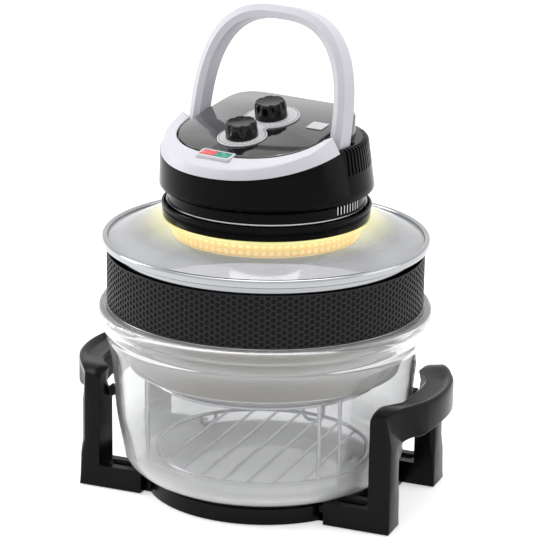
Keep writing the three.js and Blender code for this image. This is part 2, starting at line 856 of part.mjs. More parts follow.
// The lid's glass: a shallow dome with a flat seat round its hole.
function makeLidGlass() {
  const run = lidGlassEdge - lidGlassSeatRadius;
  const top = lidGlassShares.map(([inward, rise]) => [
    lidGlassEdge - inward * run,
    lidGlassBottom + lidGlass + rise * lidGlassTopRise,
  ]);
  const under = top.map(([radius, height]) => [radius, height - lidGlass]);
  return turned([
    ...top,
    [lidGlassHole, lidSeat],
    [lidGlassHole, lidSeat - lidGlass],
    ...under.reverse(),
  ]);
}

// The rolled steel rim of the lid, with the ledge that the glass lies on.
function makeLidRim() {
  const inner = lidRimRadius - lidRimWidth;
  const corner = lidRimWidth * lidRimCornerShare;
  const top = lidBottom + lidRimHeight;
  return turned([
    [lidRimRadius - lidLedgeWidth, lidBottom],
    [lidRimRadius - corner, lidBottom],
    [lidRimRadius, lidBottom + corner],
    [lidRimRadius, top - corner],
    [lidRimRadius - corner, top],
    [inner + corner, top],
    [inner, top - corner],
    [inner, lidBottom + lidLedge],
    [lidRimRadius - lidLedgeWidth, lidBottom + lidLedge],
  ]);
}

// The collar: a ring on the glass, with the floor that carries the motor.
function makeCollar() {
  const wallInner = collarTopRadius - collarWall;
  return turned([
    [collarFootRadius, collarFoot],
    [collarTopRadius, collarTop],
    [wallInner, collarTop],
    [wallInner, collarFloorTop],
    [shaftHoleRadius, collarFloorTop],
    [shaftHoleRadius, collarFloorBottom],
    [collarFootRadius - collarFloor / 2, collarFloorBottom],
    [collarFootRadius - collarFloor / 2, collarFoot],
  ]);
}

// The lid's pieces below the head.
function addLid(group) {
  addPiece(group, 'lid_rim', makeLidRim(), materials.steel);
  addPiece(group, 'lid_glass', makeLidGlass(), materials.glass);
  const gasket = turned([
    [lidGlassHole, gasketBottom],
    [collarFootRadius - collarFloor, gasketBottom],
    [collarFootRadius - collarFloor, gasketBottom + gasketHeight],
    [lidGlassHole, gasketBottom + gasketHeight],
  ]);
  addPiece(group, 'glass_gasket', gasket, materials.rubber);
  addPiece(group, 'collar', makeCollar(), materials.headPlastic);
}

// One level of the housing's skin, thinned by an inset.
function housingRing(share, inset) {
  const halfX = housingShoulderRadius + (ledgeHalfWidth - housingShoulderRadius) * share;
  const halfY = housingShoulderRadius + (ledgeHalfLength - housingShoulderRadius) * share;
  const power = 2 + (ledgePower - 2) * share;
  const height = shoulderZ + ledgeRise * share;
  return superellipse(halfX - inset, halfY - inset, power, ledgeCentreY * share, ringSides)
    .map(([x, y]) => [x, y, height]);
}

// A round level of the housing's neck.
function neckRing(radius, height) {
  return superellipse(radius, radius, 2, 0, ringSides).map(([x, y]) => [x, y, height]);
}

// The housing's outside or, with an inset, its inside, from the collar's floor to a height.
function housingForm(inset, reach) {
  const foot = collarFloorTop + clearance - (inset > 0 ? overrun : 0);
  const neck = housingNeckShares.map(([rise, spread]) => neckRing(
    neckRadius + spread * (housingShoulderRadius - neckRadius) - inset,
    neckFoot + rise * housingShoulderRise));
  return loft([neckRing(neckRadius - inset, foot), ...neck, housingRing(housingMiddleShare, inset),
    housingRing(reach, inset)]);
}

// Everything above a tilted plane z = height + slope * y, inside a large block.
function aboveSlope(height, slope) {
  const reach = 2 * housingShoulderRadius;
  const rings = [-reach, reach].map((x) => [
    [x, -reach, height - slope * reach],
    [x, reach, height + slope * reach],
    [x, reach, height + reach],
    [x, -reach, height + reach],
  ]);
  return loft(rings);
}

// The pod's half-width at a place along Y, narrower where the handle's legs stand.
function podHalfWidth(y) {
  const share = THREE.MathUtils.smoothstep(y, podBlendStart, podBlendEnd);
  return podFrontHalfWidth + (podRearHalfWidth - podFrontHalfWidth) * share;
}

// How far out the pod's wall lies at a place along Y.
function podEdge(y) {
  const [halfLength, power] = y < podCentreY ? [podHalfLength, podPower]
    : [podRearHalfLength, podRearPower];
  const share = Math.abs((y - podCentreY) / halfLength);
  return podHalfWidth(y) * (1 - share ** power) ** (1 / power);
}

// The pod's plan, rounder in front and squarer behind, grown or, with a negative value, shrunk.
function podPlan(grow) {
  const front = superellipse(1, podHalfLength + grow, podPower, podCentreY, podSides);
  const rear = superellipse(1, podRearHalfLength + grow, podRearPower, podCentreY, podSides);
  return front.map((point, at) => (rear[at][1] > podCentreY ? rear[at] : point))
    .map(([x, y]) => [x * (podHalfWidth(y) + grow), y]);
}

// The slot-shaped cuts of the housing's side and neck vents.
function ventCuts() {
  const cuts = [];
  for (const sign of [1, -1]) {
    for (let at = 0; at < sideVentCount; at += 1) {
      const angle = sideVentFirst + at * sideVentStep;
      const slot = boxBetween(
        [ledgeHalfWidth - 3 * housingWall, -sideVentWidth / 2, ledgeZ - ledgeBevel - sideVentHeight],
        [housingShoulderRadius + overrun, sideVentWidth / 2, ledgeZ - ledgeBevel],
      );
      cuts.push(spun(slot, sign > 0 ? angle : 2 * quarterTurn - angle));
    }
  }
  for (let at = 0; at < neckVentCount; at += 1) {
    const angle = neckVentCentre + (at - (neckVentCount - 1) / 2) * neckVentStep;
    const slot = boxBetween(
      [neckRadius - 2 * housingWall, -neckVentWidth / 2, neckFoot + overrun],
      [housingShoulderRadius + overrun, neckVentWidth / 2, neckFoot + overrun + neckVentHeight],
    );
    cuts.push(spun(slot, angle));
  }
  return cuts;
}

// The pocket beside the pod that takes a handle leg's foot, with a wall thickness round it.
function pocketBox(sign, wall, top) {
  const inner = podRearHalfWidth - podWall;
  const outer = handleHalfWidth + looseFit;
  const low = [inner, pivotY - pocketHalfLength - wall, ledgeZ - pocketDepth - wall];
  const high = [outer + wall, pivotY + pocketHalfLength + wall, top];
  return boxBetween(low, high).scale([sign, 1, 1]);
}

// The head's housing: neck, shoulder, sloping front edge, rear ledge and handle pockets.
function makeHousing() {
  const outside = housingForm(0, 1);
  const top = boxBetween(
    [-housingShoulderRadius, trimEndY, ledgeZ - ledgeThickness],
    [housingShoulderRadius, 2 * housingShoulderRadius, ledgeZ + overrun],
  );
  const cavity = housingForm(housingWall, 1).add(
    boxBetween([-ledgeHalfWidth + 2 * housingWall, ledgeCentreY - podHalfLength, ledgeZ - overrun],
      [ledgeHalfWidth - 2 * housingWall, trimEndY, ledgeZ + overrun])).subtract(top);
  const opening = prism(podPlan(clearance), ledgeZ - ledgeThickness - overrun, ledgeZ + overrun);
  const front = aboveSlope(trimPlaneZ - clearance, trimPlaneSlope).subtract(boxBetween(
    [-2 * housingShoulderRadius, trimEndY, 0],
    [2 * housingShoulderRadius, 2 * housingShoulderRadius, 2 * ledgeZ]));
  let shell = outside.subtract(cavity).subtract(opening).subtract(front);
  for (const sign of [1, -1]) {
    const walls = pocketBox(sign, pocketFloor, ledgeZ - clearance).intersect(housingForm(clearance, 1));
    shell = shell.add(walls).subtract(pocketBox(sign, 0, ledgeZ + overrun));
  }
  const podSpace = prism(podPlan(clearance), podBottom - clearance, ledgeZ + overrun);
  const gland = solidOf(new THREE.CylinderGeometry(glandRadius + clearance, glandRadius + clearance,
    glandLength, smallSides)).translate([0, housingShoulderRadius - housingWall, glandZ]);
  return [...ventCuts(), podSpace, gland].reduce((whole, cut) => whole.subtract(cut), shell);
}

// A solid given in the tilted panel's frame, moved into the head's frame.
function onPanel(solid) {
  return solid.rotate([panelTilt, 0, 0]).translate([0, 0, panelZ]);
}

// The pod cover: an open-bottomed box with a sloping top under the panel.
function makePod() {
  const drop = (panelThickness + clearance) / Math.cos(tilt);
  const slope = Math.tan(tilt);
  const whole = prism(podPlan(0), podBottom, 2 * panelZ - podBottom)
    .subtract(aboveSlope(panelZ - drop, slope));
  const inside = prism(podPlan(-podWall), podBottom - overrun, 2 * panelZ - podBottom)
    .subtract(aboveSlope(panelZ - drop - podWall, slope));
  const frontKeep = aboveSlope(panelZ - podFrontDrop, slope);
  const rearKeep = boxBetween([-podFrontHalfWidth - overrun, trimEndY, 0],
    [podFrontHalfWidth + overrun, 2 * podHalfLength, 2 * panelZ]);
  const shell = whole.subtract(inside).intersect(frontKeep.add(rearKeep));
  const holes = [timerKnobY, heatKnobY].map((y) => onPanel(
    rod(spindleRadius + looseFit, -spindleHoleDepth, overrun, smallSides, 0, y)));
  const pinHole = crossRod(pinRadius + clearance, -handleHalfWidth, handleHalfWidth, pivotY, pivotZ);
  return [...holes, pinHole].reduce((body, cut) => body.subtract(cut), shell);
}

// A point on the front half of a sloping superellipse, by its share from end to end.
function frontPoint(curve, share) {
  const endSine = (curve.centreY - trimEndY + clearance) / curve.halfY;
  const start = Math.asin(endSine ** (curve.power / 2));
  const angle = start + (Math.PI - 2 * start) * share;
  const x = curve.halfX * signedPower(Math.cos(angle), 2 / curve.power);
  const y = curve.centreY - curve.halfY * Math.sin(angle) ** (2 / curve.power);
  return [x, y, curve.height + curve.slope * y];
}

// A curve moved inward and down.
function insetCurve(curve, inward, down) {
  return {
    ...curve,
    halfX: curve.halfX - inward,
    halfY: curve.halfY - inward,
    height: curve.height - down,
  };
}

// The edge curves of the front trim's section, outside first and then the inside.
function trimCurves() {
  const foot = {
    halfX: ledgeHalfWidth,
    halfY: ledgeHalfLength,
    centreY: ledgeCentreY,
    power: ledgePower,
    height: trimPlaneZ,
    slope: trimPlaneSlope,
  };
  const crease = {
    halfX: trimCreaseHalfWidth,
    halfY: trimCreaseHalfLength,
    centreY: ledgeCentreY,
    power: ledgePower,
    height: trimCreaseZ,
    slope: trimCreaseSlope,
  };
  const panelEdge = {
    halfX: podFrontHalfWidth + looseFit,
    halfY: podHalfLength + looseFit,
    centreY: podCentreY,
    power: podPower,
    height: panelZ,
    slope: Math.tan(tilt),
  };
  return [foot, crease, panelEdge, insetCurve(panelEdge, 0, trimSkin),
    insetCurve(crease, trimSkin, trimSkin), insetCurve(foot, trimSkin, 0)];
}

// The light front trim that wraps the pod from one side to the other.
function makeTrim() {
  const curves = trimCurves();
  const rings = [];
  for (let at = 0; at <= trimSteps; at += 1) {
    rings.push(curves.map((curve) => frontPoint(curve, at / trimSteps)));
  }
  return loft(rings).subtract(bezelSpace(clearance));
}

// The lamp bezel's block in the head's frame, grown by a gap.
function bezelSpace(gap) {
  return onPanel(boxBetween(
    [-bezelLength / 2 - gap, bezelY - bezelWidth / 2 - gap, -panelThickness - gap],
    [bezelLength / 2 + gap, bezelY + bezelWidth / 2 + gap, bezelStand + (gap > 0 ? overrun : 0)],
  ));
}

// The glossy panel with its spindle holes.
function makePanel() {
  const plan = podPlan(-panelInset).map(([x, y]) => [x, y / Math.cos(tilt)]);
  const sheet = prism(plan, -panelThickness, 0);
  const holes = [timerKnobY, heatKnobY].map((y) => rod(spindleRadius + looseFit,
    -panelThickness - overrun, overrun, smallSides, 0, y));
  return onPanel(holes.reduce((body, cut) => body.subtract(cut), sheet))
    .subtract(bezelSpace(clearance));
}

// The dial plate: a disc under each knob and a waist between them.
function makeDialPlate() {
  const bottom = clearance;
  const top = clearance + plateThickness;
  const discs = [[timerKnobY, timerPlateRadius], [heatKnobY, heatPlateRadius]]
    .map(([y, radius]) => rod(radius, bottom, top, discSides, 0, y));
  const waist = boxBetween([-plateWaist / 2, timerKnobY, bottom], [plateWaist / 2, heatKnobY, top]);
  const holes = [timerKnobY, heatKnobY].map((y) => rod(spindleRadius + looseFit, bottom - overrun,
    top + overrun, smallSides, 0, y));
  return onPanel(holes.reduce((body, cut) => body.subtract(cut), joined([...discs, waist])));
}

// A knob with scalloped sides and a blind bore for its spindle.
function makeKnob(radius, height, y) {
  const rings = [[0, 1], [knobShoulderShare, 1], [1, knobTopShare]].map(([rise, share]) => {
    const ring = [];
    for (let at = 0; at < knobSides; at += 1) {
      const angle = (at / knobSides) * 2 * Math.PI;
      const notch = Math.abs(Math.cos((angle * knobNotchCount) / 2)) ** knobNotchPower;
      const reach = (radius - notch * knobNotchDepth) * share;
      ring.push([reach * Math.cos(angle), reach * Math.sin(angle), rise * height]);
    }
    return ring;
  });
  const bore = rod(spindleRadius + clearance, -overrun, spindleInKnob + clearance);
  const foot = 2 * clearance + plateThickness;
  return onPanel(loft(rings).subtract(bore).translate([0, y, foot]));
}

// The controls that lie on or under the panel.
function addControls(group) {
  addPiece(group, 'control_panel', makePanel(), materials.panelGloss);
  addPiece(group, 'dial_plate', makeDialPlate(), materials.trimPlastic);
  const knobs = [['timer', timerKnobY, timerKnobRadius, timerKnobHeight],
    ['heat', heatKnobY, heatKnobRadius, heatKnobHeight]];
  const bodyTop = -panelThickness - podWall - 3 * clearance;
  for (const [name, y, radius, height] of knobs) {
    addPiece(group, `${name}_knob`, makeKnob(radius, height, y), materials.headPlastic);
    const knobFoot = 2 * clearance + plateThickness;
    const spindle = rod(spindleRadius, bodyTop - spindleInBody, knobFoot + spindleInKnob,
      smallSides, 0, y);
    addPiece(group, `${name}_spindle`, onPanel(spindle), materials.steel);
    const half = controlBodyWidth / 2;
    const body = boxBetween([-half, y - half, bodyTop - controlBodyHeight], [half, y + half, bodyTop])
      .subtract(rod(spindleRadius + clearance, bodyTop - spindleInBody - clearance, overrun,
        smallSides, 0, y));
    const bodyName = name === 'timer' ? 'timer_body' : 'thermostat_body';
    addPiece(group, bodyName, onPanel(body), materials.aluminium);
  }
  const lensNames = [['red_lens', -1, materials.redLens], ['green_lens', 1, materials.greenLens]];
  let bezel = bezelSpace(0);
  for (const [name, sign, material] of lensNames) {
    const x = (sign * lensSpacing) / 2;
    const lensBlock = (gap, bottom, top) => onPanel(boxBetween(
      [x - lensLength / 2 - gap, bezelY - lensWidth / 2 - gap, bottom],
      [x + lensLength / 2 + gap, bezelY + lensWidth / 2 + gap, top]));
    bezel = bezel.subtract(lensBlock(clearance, -panelThickness - overrun, bezelStand + overrun));
    addPiece(group, name, lensBlock(0, -panelThickness, bezelStand + lensStand), material);
  }
  addPiece(group, 'lamp_bezel', bezel, materials.trimPlastic);
  const label = onPanel(boxBetween(
    [labelX - labelLength / 2, labelY - labelWidth / 2, clearance],
    [labelX + labelLength / 2, labelY + labelWidth / 2, clearance + labelThickness]));
  addPiece(group, 'label_plate', label, materials.trimPlastic);
}

// The handle's outline at a share of its sweep, as a place and an inward direction.
function handlePoint(share, inset) {
  const angle = Math.PI * share;
  const halfX = handleHalfWidth - inset;
  const height = handleHeight - inset;
  return [halfX * signedPower(Math.cos(angle), 2 / handlePower),
    height * Math.sin(angle) ** (2 / handlePower)];
}

// The carry handle, standing on its pivots, before it is leaned back.
function makeHandle() {
  const half = handleDepth / 2;
  const sectionAt = (share, drop) => {
    const outer = handlePoint(share, 0);
    const ridge = handlePoint(share, handleThickness / 2);
    const inner = handlePoint(share, handleThickness);
    const place = ([x, z], y) => [x, y, z - drop];
    return [place(outer, half), place(outer, handleRidge - half), place(ridge, -half),
      place(inner, handleRidge - half), place(inner, half)];
  };
  const rings = [sectionAt(0, handleFootDrop)];
  for (let at = 0; at <= handleSteps; at += 1) rings.push(sectionAt(at / handleSteps, 0));
  rings.push(sectionAt(1, handleFootDrop));
  const arch = loft(rings);
  const footRadius = handleFootDrop;
  const footBlock = boxBetween([-handleHalfWidth - overrun, -handleDepth, -2 * footRadius],
    [handleHalfWidth + overrun, handleDepth, 0]);
  const roundFoot = crossRod(footRadius, -handleHalfWidth - overrun, handleHalfWidth + overrun,
    0, 0, middleSides);
  const bores = [1, -1].map((sign) => {
    const ends = [sign * (handleHalfWidth - handleThickness - overrun),
      sign * (handleHalfWidth - handleThickness + pinInLeg + clearance)];
    return crossRod(pinRadius + clearance, Math.min(...ends), Math.max(...ends), 0, 0);
  });
  return bores.reduce((body, cut) => body.subtract(cut), arch.subtract(footBlock.subtract(roundFoot)));
}

// The carry handle, its pins and the switch beside the right pin.
function addHandle(group) {
  const handle = makeHandle().rotate([-handleLean, 0, 0]).translate([0, pivotY, pivotZ]);
  addPiece(group, 'carry_handle', handle, materials.trimPlastic);
  const podInner = podEdge(pivotY + pinHeadRadius) - podWall - looseFit;
  for (const [name, sign] of [['right', 1], ['left', -1]]) {
    const tip = handleHalfWidth - handleThickness + pinInLeg;
    const pin = crossRod(pinRadius, podInner - pinHead, tip, pivotY, pivotZ)
      .add(crossRod(pinHeadRadius, podInner - pinHead, podInner, pivotY, pivotZ));
    addPiece(group, `pivot_pin_${name}`, pin.scale([sign, 1, 1]), materials.steel);
  }
  const [length, width, height] = switchSize;
  const top = pivotZ - pinHeadRadius - clearance;
  const back = podEdge(pivotY + length / 2) - podWall - looseFit;
  const box = boxBetween([back - width, pivotY - length / 2, top - height],
    [back, pivotY + length / 2, top]);
  addPiece(group, 'handle_switch', box, materials.headPlastic);
}

// A fan: a hub with pitched blades.
function makeFan(radius, bottom) {
  const bladeLength = radius - fanHubRadius;
  const parts = [rod(fanHubRadius, bottom, bottom + fanHubHeight)];
  for (let at = 0; at < fanBladeCount; at += 1) {
    const blade = boxBetween([-overrun, -fanHubHeight / 2, -bladeThickness / 2],
      [bladeLength, fanHubHeight / 2, bladeThickness / 2])
      .rotate([bladePitch, 0, 0])
      .translate([fanHubRadius, 0, bottom + fanHubHeight / 2]);
    parts.push(spun(blade, (at / fanBladeCount) * fullTurn));
  }
  const bore = rod(shaftRadius + clearance, bottom - overrun, bottom + fanHubHeight + overrun);
  return joined(parts).subtract(bore);
}

// The heater under the glass: reflector, lamp, its holders and the guard.
function addHeater(group) {
  const foot = lampTop - reflectorDepth;
  const inner = reflectorRadius - reflectorWall;
  const reflector = turned([
    [reflectorHole, lampTop - reflectorWall],
    [inner, lampTop - reflectorWall],
    [inner, foot],
    [reflectorRadius, foot],
    [reflectorRadius, lampTop - reflectorWall],
    [reflectorRadius + reflectorFlange, lampTop - reflectorWall],
    [reflectorRadius + reflectorFlange, lampTop],
    [reflectorHole, lampTop],
  ]);
  addPiece(group, 'lamp_reflector', reflector, materials.aluminium);
  const guardTop = foot - clearance;
  let guard = rod(reflectorRadius, guardTop - guardThickness, guardTop, ringSides);
  for (const [ring, share] of guardRingShares.entries()) {
    const count = ring === 0 ? guardHoleCount / 2 : guardHoleCount;
    for (let at = 0; at < count; at += 1) {
      const hole = rod(guardHoleRadius, guardTop - guardThickness - overrun, guardTop + overrun,
        guardHoleSides, share * reflectorRadius, 0);
      guard = guard.subtract(spun(hole, ((at + ring / 2) / count) * fullTurn));
    }
  }
  addPiece(group, 'lamp_guard', guard, materials.steel);
  const tubeZ = lampTop - reflectorWall - tubeDrop;
  const arc = [];
  for (let at = 0; at <= tubeSteps; at += 1) {
    const angle = radians(quarterTurn + tubeGap / 2 + (fullTurn - tubeGap) * (at / tubeSteps));
    arc.push([tubeRingRadius * Math.cos(angle), tubeRingRadius * Math.sin(angle), tubeZ]);
  }
  addPiece(group, 'halogen_tube', wire(arc, tubeRadius, [0, 0, 1], tubeSides), materials.lampGlass);
  for (const [name, sign] of [['right', 1], ['left', -1]]) {
    const holder = boxBetween(
      [tubeRingRadius - holderWidth / 2, -holderLength, tubeZ - tubeRadius],
      [tubeRingRadius + holderWidth / 2, -looseFit - clearance, lampTop - reflectorWall - clearance],
    );
    const placed = spun(holder, quarterTurn + tubeGap / 2).scale([-sign, 1, 1]);
    addPiece(group, `lamp_holder_${name}`, placed, materials.ceramic);
  }
}

// The fan motor, its shaft and both fans.
function addRotor(group) {
  const motorFoot = collarFloorTop + clearance;
  const motorTop = motorFoot + motorHeight;
  const motor = rod(motorRadius, motorFoot, motorTop, middleSides)
    .add(rod(motorBossRadius, motorTop - overrun, motorTop + motorBossHeight))
    .subtract(rod(shaftRadius + clearance, motorFoot - overrun, motorTop + motorBossHeight + overrun));
  addPiece(group, 'fan_motor', motor, materials.aluminium);
  const coolingFoot = motorTop + motorBossHeight + fanGap;
  const convectionFoot = lampTop - reflectorDepth + fanGap;
  const shaft = rod(shaftRadius, convectionFoot, coolingFoot + fanHubHeight);
  addPiece(group, 'motor_shaft', shaft, materials.steel);
  addPiece(group, 'cooling_fan', makeFan(coolingFanRadius, coolingFoot), materials.headPlastic);
  addPiece(group, 'convection_fan', makeFan(convectionFanRadius, convectionFoot), materials.aluminium);
}

// The bush that the power cord would leave the head through.
function makeGland() {
  const length = glandLength - clearance;
  const bush = solidOf(new THREE.CylinderGeometry(glandRadius, glandRadius, length, smallSides));
  const bore = solidOf(new THREE.CylinderGeometry(glandBore, glandBore, length + overrun, smallSides));
  return bush.subtract(bore).translate([0, housingShoulderRadius - housingWall, glandZ]);
}

// The head's shells, trim, controls, handle and drive.
function addHead(group) {
  const head = new THREE.Group();
  head.rotation.z = radians(headTurn);
  addPiece(head, 'head_housing', makeHousing(), materials.headPlastic);
  addPiece(head, 'pod_cover', makePod(), materials.headPlastic);
  addPiece(head, 'front_trim', makeTrim(), materials.trimPlastic);
  addPiece(head, 'cord_gland', makeGland(), materials.rubber);
  addControls(head);
  addHandle(head);
  addHeater(head);
  addRotor(head);
  group.add(head);
}

const oven = new THREE.Group();
addStand(oven);
addCookingSpace(oven);
addExtender(oven);
addLid(oven);
addHead(oven);

export default oven;
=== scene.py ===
"""Looks for a countertop mini oven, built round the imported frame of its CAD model.

The bowl stands in a black stand with two side grips. An extender ring and a glass lid lie on
it, and the lid carries the heater head with its knobs, lamps and folding carry handle. Sizes
here are in millimetres, in the row frame, and a mesh is turned into metres when it is made.
"""

import json
import logging
import math
from collections.abc import Callable
from dataclasses import dataclass, field, replace
from enum import Enum

import bmesh
import bpy
from mathutils import Matrix, Vector

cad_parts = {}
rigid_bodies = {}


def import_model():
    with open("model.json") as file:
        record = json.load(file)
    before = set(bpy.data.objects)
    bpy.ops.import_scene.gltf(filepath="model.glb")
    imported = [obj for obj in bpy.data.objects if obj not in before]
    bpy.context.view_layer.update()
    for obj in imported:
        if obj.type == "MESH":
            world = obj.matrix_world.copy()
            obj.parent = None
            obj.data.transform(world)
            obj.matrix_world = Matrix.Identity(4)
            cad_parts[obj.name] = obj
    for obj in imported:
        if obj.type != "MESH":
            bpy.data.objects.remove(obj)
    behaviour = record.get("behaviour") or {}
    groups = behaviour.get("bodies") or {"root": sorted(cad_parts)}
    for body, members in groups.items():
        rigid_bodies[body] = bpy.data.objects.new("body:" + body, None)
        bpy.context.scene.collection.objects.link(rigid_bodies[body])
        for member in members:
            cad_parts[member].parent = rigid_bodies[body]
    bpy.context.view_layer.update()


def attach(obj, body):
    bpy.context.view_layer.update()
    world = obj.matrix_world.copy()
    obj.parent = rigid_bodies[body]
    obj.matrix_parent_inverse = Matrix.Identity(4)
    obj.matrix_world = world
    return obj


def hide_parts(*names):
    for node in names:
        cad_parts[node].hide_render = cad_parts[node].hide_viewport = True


LOG = logging.getLogger("mini_oven")
MM = 0.001
ROUND = 2.0 * math.pi
CLEARANCE = 0.3
FINE_SIDES = 160
HOLE_SIDES = 24
HEAD_TURN = math.radians(-12.0)
SEEN_RAYS = ("Is Camera Ray", "Is Glossy Ray", "Is Transmission Ray")
PANEL_TILT = math.radians(10.8)
PANEL_Z = 378.6
PIVOT_Z = 368.0
TIMER_Y = -44.5
HEAT_Y = 6.5
TRIM_END_Y = -20.0
LEDGE_Z = 365.0
LIGHT_WHITE = (1.0, 1.0, 1.0, 1.0)

Point = tuple[float, float, float]
Pair = tuple[float, float]
Colour = tuple[float, float, float]
Tree = bpy.types.NodeTree
Node = bpy.types.Node
Socket = bpy.types.NodeSocket
Inputs = dict[str | int, object]
Plan = list[Pair]
Ring = list[Point]
Path = tuple[Ring, bool]


# Shapes


def turn_z(angle: float) -> Matrix:
    """Return a turn about Z by an angle in radians."""
    return Matrix.Rotation(angle, 4, "Z")


def head_frame() -> Matrix:
    """Return the turn of the heater head on the lid."""
    return turn_z(HEAD_TURN)


def panel_frame() -> Matrix:
    """Return the place of the sloping control panel's top face."""
    lift = Matrix.Translation((0.0, 0.0, PANEL_Z))
    return head_frame() @ lift @ Matrix.Rotation(PANEL_TILT, 4, "X")


@dataclass
class Form:
    """Points in millimetres and faces by index, gathered before a mesh is made."""

    points: list[Point] = field(default_factory=list)
    faces: list[tuple[int, ...]] = field(default_factory=list)

    def add(self, other: "Form") -> "Form":
        """Add another form's points and faces to this one.

        Args:
            other: The form that joins this one.

        Returns:
            This form, so that calls can be chained.
        """
        start = len(self.points)
        self.points.extend(other.points)
        self.faces.extend(tuple(start + i for i in face) for face in other.faces)
        return self

    def moved(self, place: Matrix) -> "Form":
        """Return a copy of the form put in the place that a matrix gives."""
        points = [tuple(place @ Vector(p)) for p in self.points]
        return Form(points, list(self.faces))

    def mirrored(self, x: float, y: float) -> "Form":
        """Mirror the form, with its faces still outward.

        Args:
            x: The sign that X gets, 1 or -1.
            y: The sign that Y gets.

        Returns:
            The mirrored copy.
        """
        points = [(p[0] * x, p[1] * y, p[2]) for p in self.points]
        faces = [f[::-1] if x * y < 0 else f for f in self.faces]
        return Form(points, faces)


def rounded(corners: list[Point], steps: int = 4) -> Plan:
    """Round the corners of a closed outline.

    Args:
        corners: Places of the corners, each with the radius that rounds it.
        steps: Straight pieces in each rounding.

    Returns:
        The outline's points, in the same order.
    """
    result: Plan = []
    count = len(corners)
    for at, (x, y, radius) in enumerate(corners):
        here = Vector((x, y))
        before = Vector(corners[at - 1][:2]) - here
        after = Vector(corners[(at + 1) % count][:2]) - here
        if radius <= 0 or before.length < 1e-6 or after.length < 1e-6:
            result.append((x, y))
            continue
        cosine = max(-0.999, min(0.999, before.normalized().dot(after.normalized())))
        half = math.acos(cosine) / 2
        reach = min(radius / math.tan(half), 0.49 * before.length, 0.49 * after.length)
        start, end = here + before.normalized() * reach, here + after.normalized() * reach
        for step in range(steps + 1):
            t = step / steps
            spot = start * (1 - t) ** 2 + here * 2 * t * (1 - t) + end * t * t
            result.append((spot.x, spot.y))
    return result


def smooth_line(points: Plan, steps: int) -> Plan:
    """Draw a smooth curve through points.

    Args:
        points: The places that the curve passes.
        steps: Straight pieces between one place and the next.

    Returns:
        The points of the curve, its ends included.
    """
    result: Plan = []
    last = len(points) - 1
    for at in range(last):
        p0, p1, p2, p3 = (
            Vector(points[max(at - 1, 0)]),
            Vector(points[at]),
            Vector(points[at + 1]),
            Vector(points[min(at + 2, last)]),
        )
        for step in range(steps):
            t = step / steps
            spot = 0.5 * (
                2 * p1
                + (p2 - p0) * t
                + (2 * p0 - 5 * p1 + 4 * p2 - p3) * t * t
                + (3 * p1 - p0 - 3 * p2 + p3) * t**3
            )
            result.append((spot.x, spot.y))
    result.append(tuple(points[last]))
    return result


def loft(rings: list[Ring], looped: bool = False) -> Form:
    """Skin closed rings of points; open ends get a flat cap.

    Args:
        rings: Rings with the same number of points, from one end to the other.
        looped: True where the last ring joins the first again.

    Returns:
        The closed skin.
    """
    count = len(rings[0])
    points = [tuple(p) for ring in rings for p in ring]
    faces: list[tuple[int, ...]] = []
    spans = len(rings) if looped else len(rings) - 1
    for ring in range(spans):
        after = (ring + 1) % len(rings)
        for at in range(count):
            side = (at + 1) % count
            here, there = ring * count, after * count
            faces.append((here + at, here + side, there + side, there + at))
    if not looped:
        last = (len(rings) - 1) * count
        faces.append(tuple(reversed(range(count))))
        faces.append(tuple(last + at for at in range(count)))
    return Form(points, faces)


def turned(profile: list[Pair], sides: int = 144) -> Form:
    """Turn a closed outline of radius and height pairs about Z.

    Args:
        profile: The outline, in order.
        sides: Steps round the axis.

    Returns:
        The solid of revolution.
    """
    rings = []
    for at in range(sides):
        angle = ROUND * at / sides
        c, s = math.cos(angle), math.sin(angle)
        rings.append([(r * c, r * s, z) for r, z in profile])
    return loft(rings, looped=True)


def prism(plan: Plan, bottom: float, top: float) -> Form:
    """Return an upright block over a plan, between two heights."""
    return loft([[(x, y, bottom) for x, y in plan], [(x, y, top) for x, y in plan]])


def rectangle(low: Pair, high: Pair, radius: float = 0.0) -> Plan:
    """Return a rectangle between two corners, with its corners rounded by a radius."""
    corners = ((low[0], low[1]), (high[0], low[1]), (high[0], high[1]), (low[0], high[1]))
    return rounded([(x, y, radius) for x, y in corners])


def block(low: Point, high: Point) -> Form:
    """Return a box between two corners."""
    return prism(rectangle(low[:2], high[:2]), low[2], high[2])


def pillow(plan: Plan, levels: list[Pair]) -> Form:
    """Stack copies of an anticlockwise plan by pairs of inset and height, from the bottom up."""
    return loft([[(x, y, z) for x, y in inset_plan(plan, inset)] for inset, z in levels])


def arc(radius: float, start: float, end: float, steps: int, centre: Pair = (0.0, 0.0)) -> Plan:
    """Return points along an arc between two angles in radians, its ends included."""
    angles = [start + (end - start) * at / steps for at in range(steps + 1)]
    return [(centre[0] + radius * math.cos(a), centre[1] + radius * math.sin(a)) for a in angles]


def inset_plan(plan: Plan, inset: float) -> Plan:
    """Draw an outline in by a distance, or let it grow with a negative one.

    Args:
        plan: Plan points in order, going anticlockwise.
        inset: How far each side moves inward.

    Returns:
        The drawn-in outline.
    """
    result = []
    count = len(plan)
    for at in range(count):
        here = Vector(plan[at])
        before = (here - Vector(plan[at - 1])).normalized()
        after = (Vector(plan[(at + 1) % count]) - here).normalized()
        left_before, left_after = Vector((-before.y, before.x)), Vector((-after.y, after.x))
        both = left_before + left_after
        if both.length < 1e-6:
            both = left_before
        both.normalize()
        lean = max(0.5, both.dot(left_before))
        spot = here + both * (inset / lean)
        result.append((spot.x, spot.y))
    return result


def signed_power(value: float, power: float) -> float:
    """Raise a number to a power and keep its sign."""
    return math.copysign(abs(value) ** power, value)


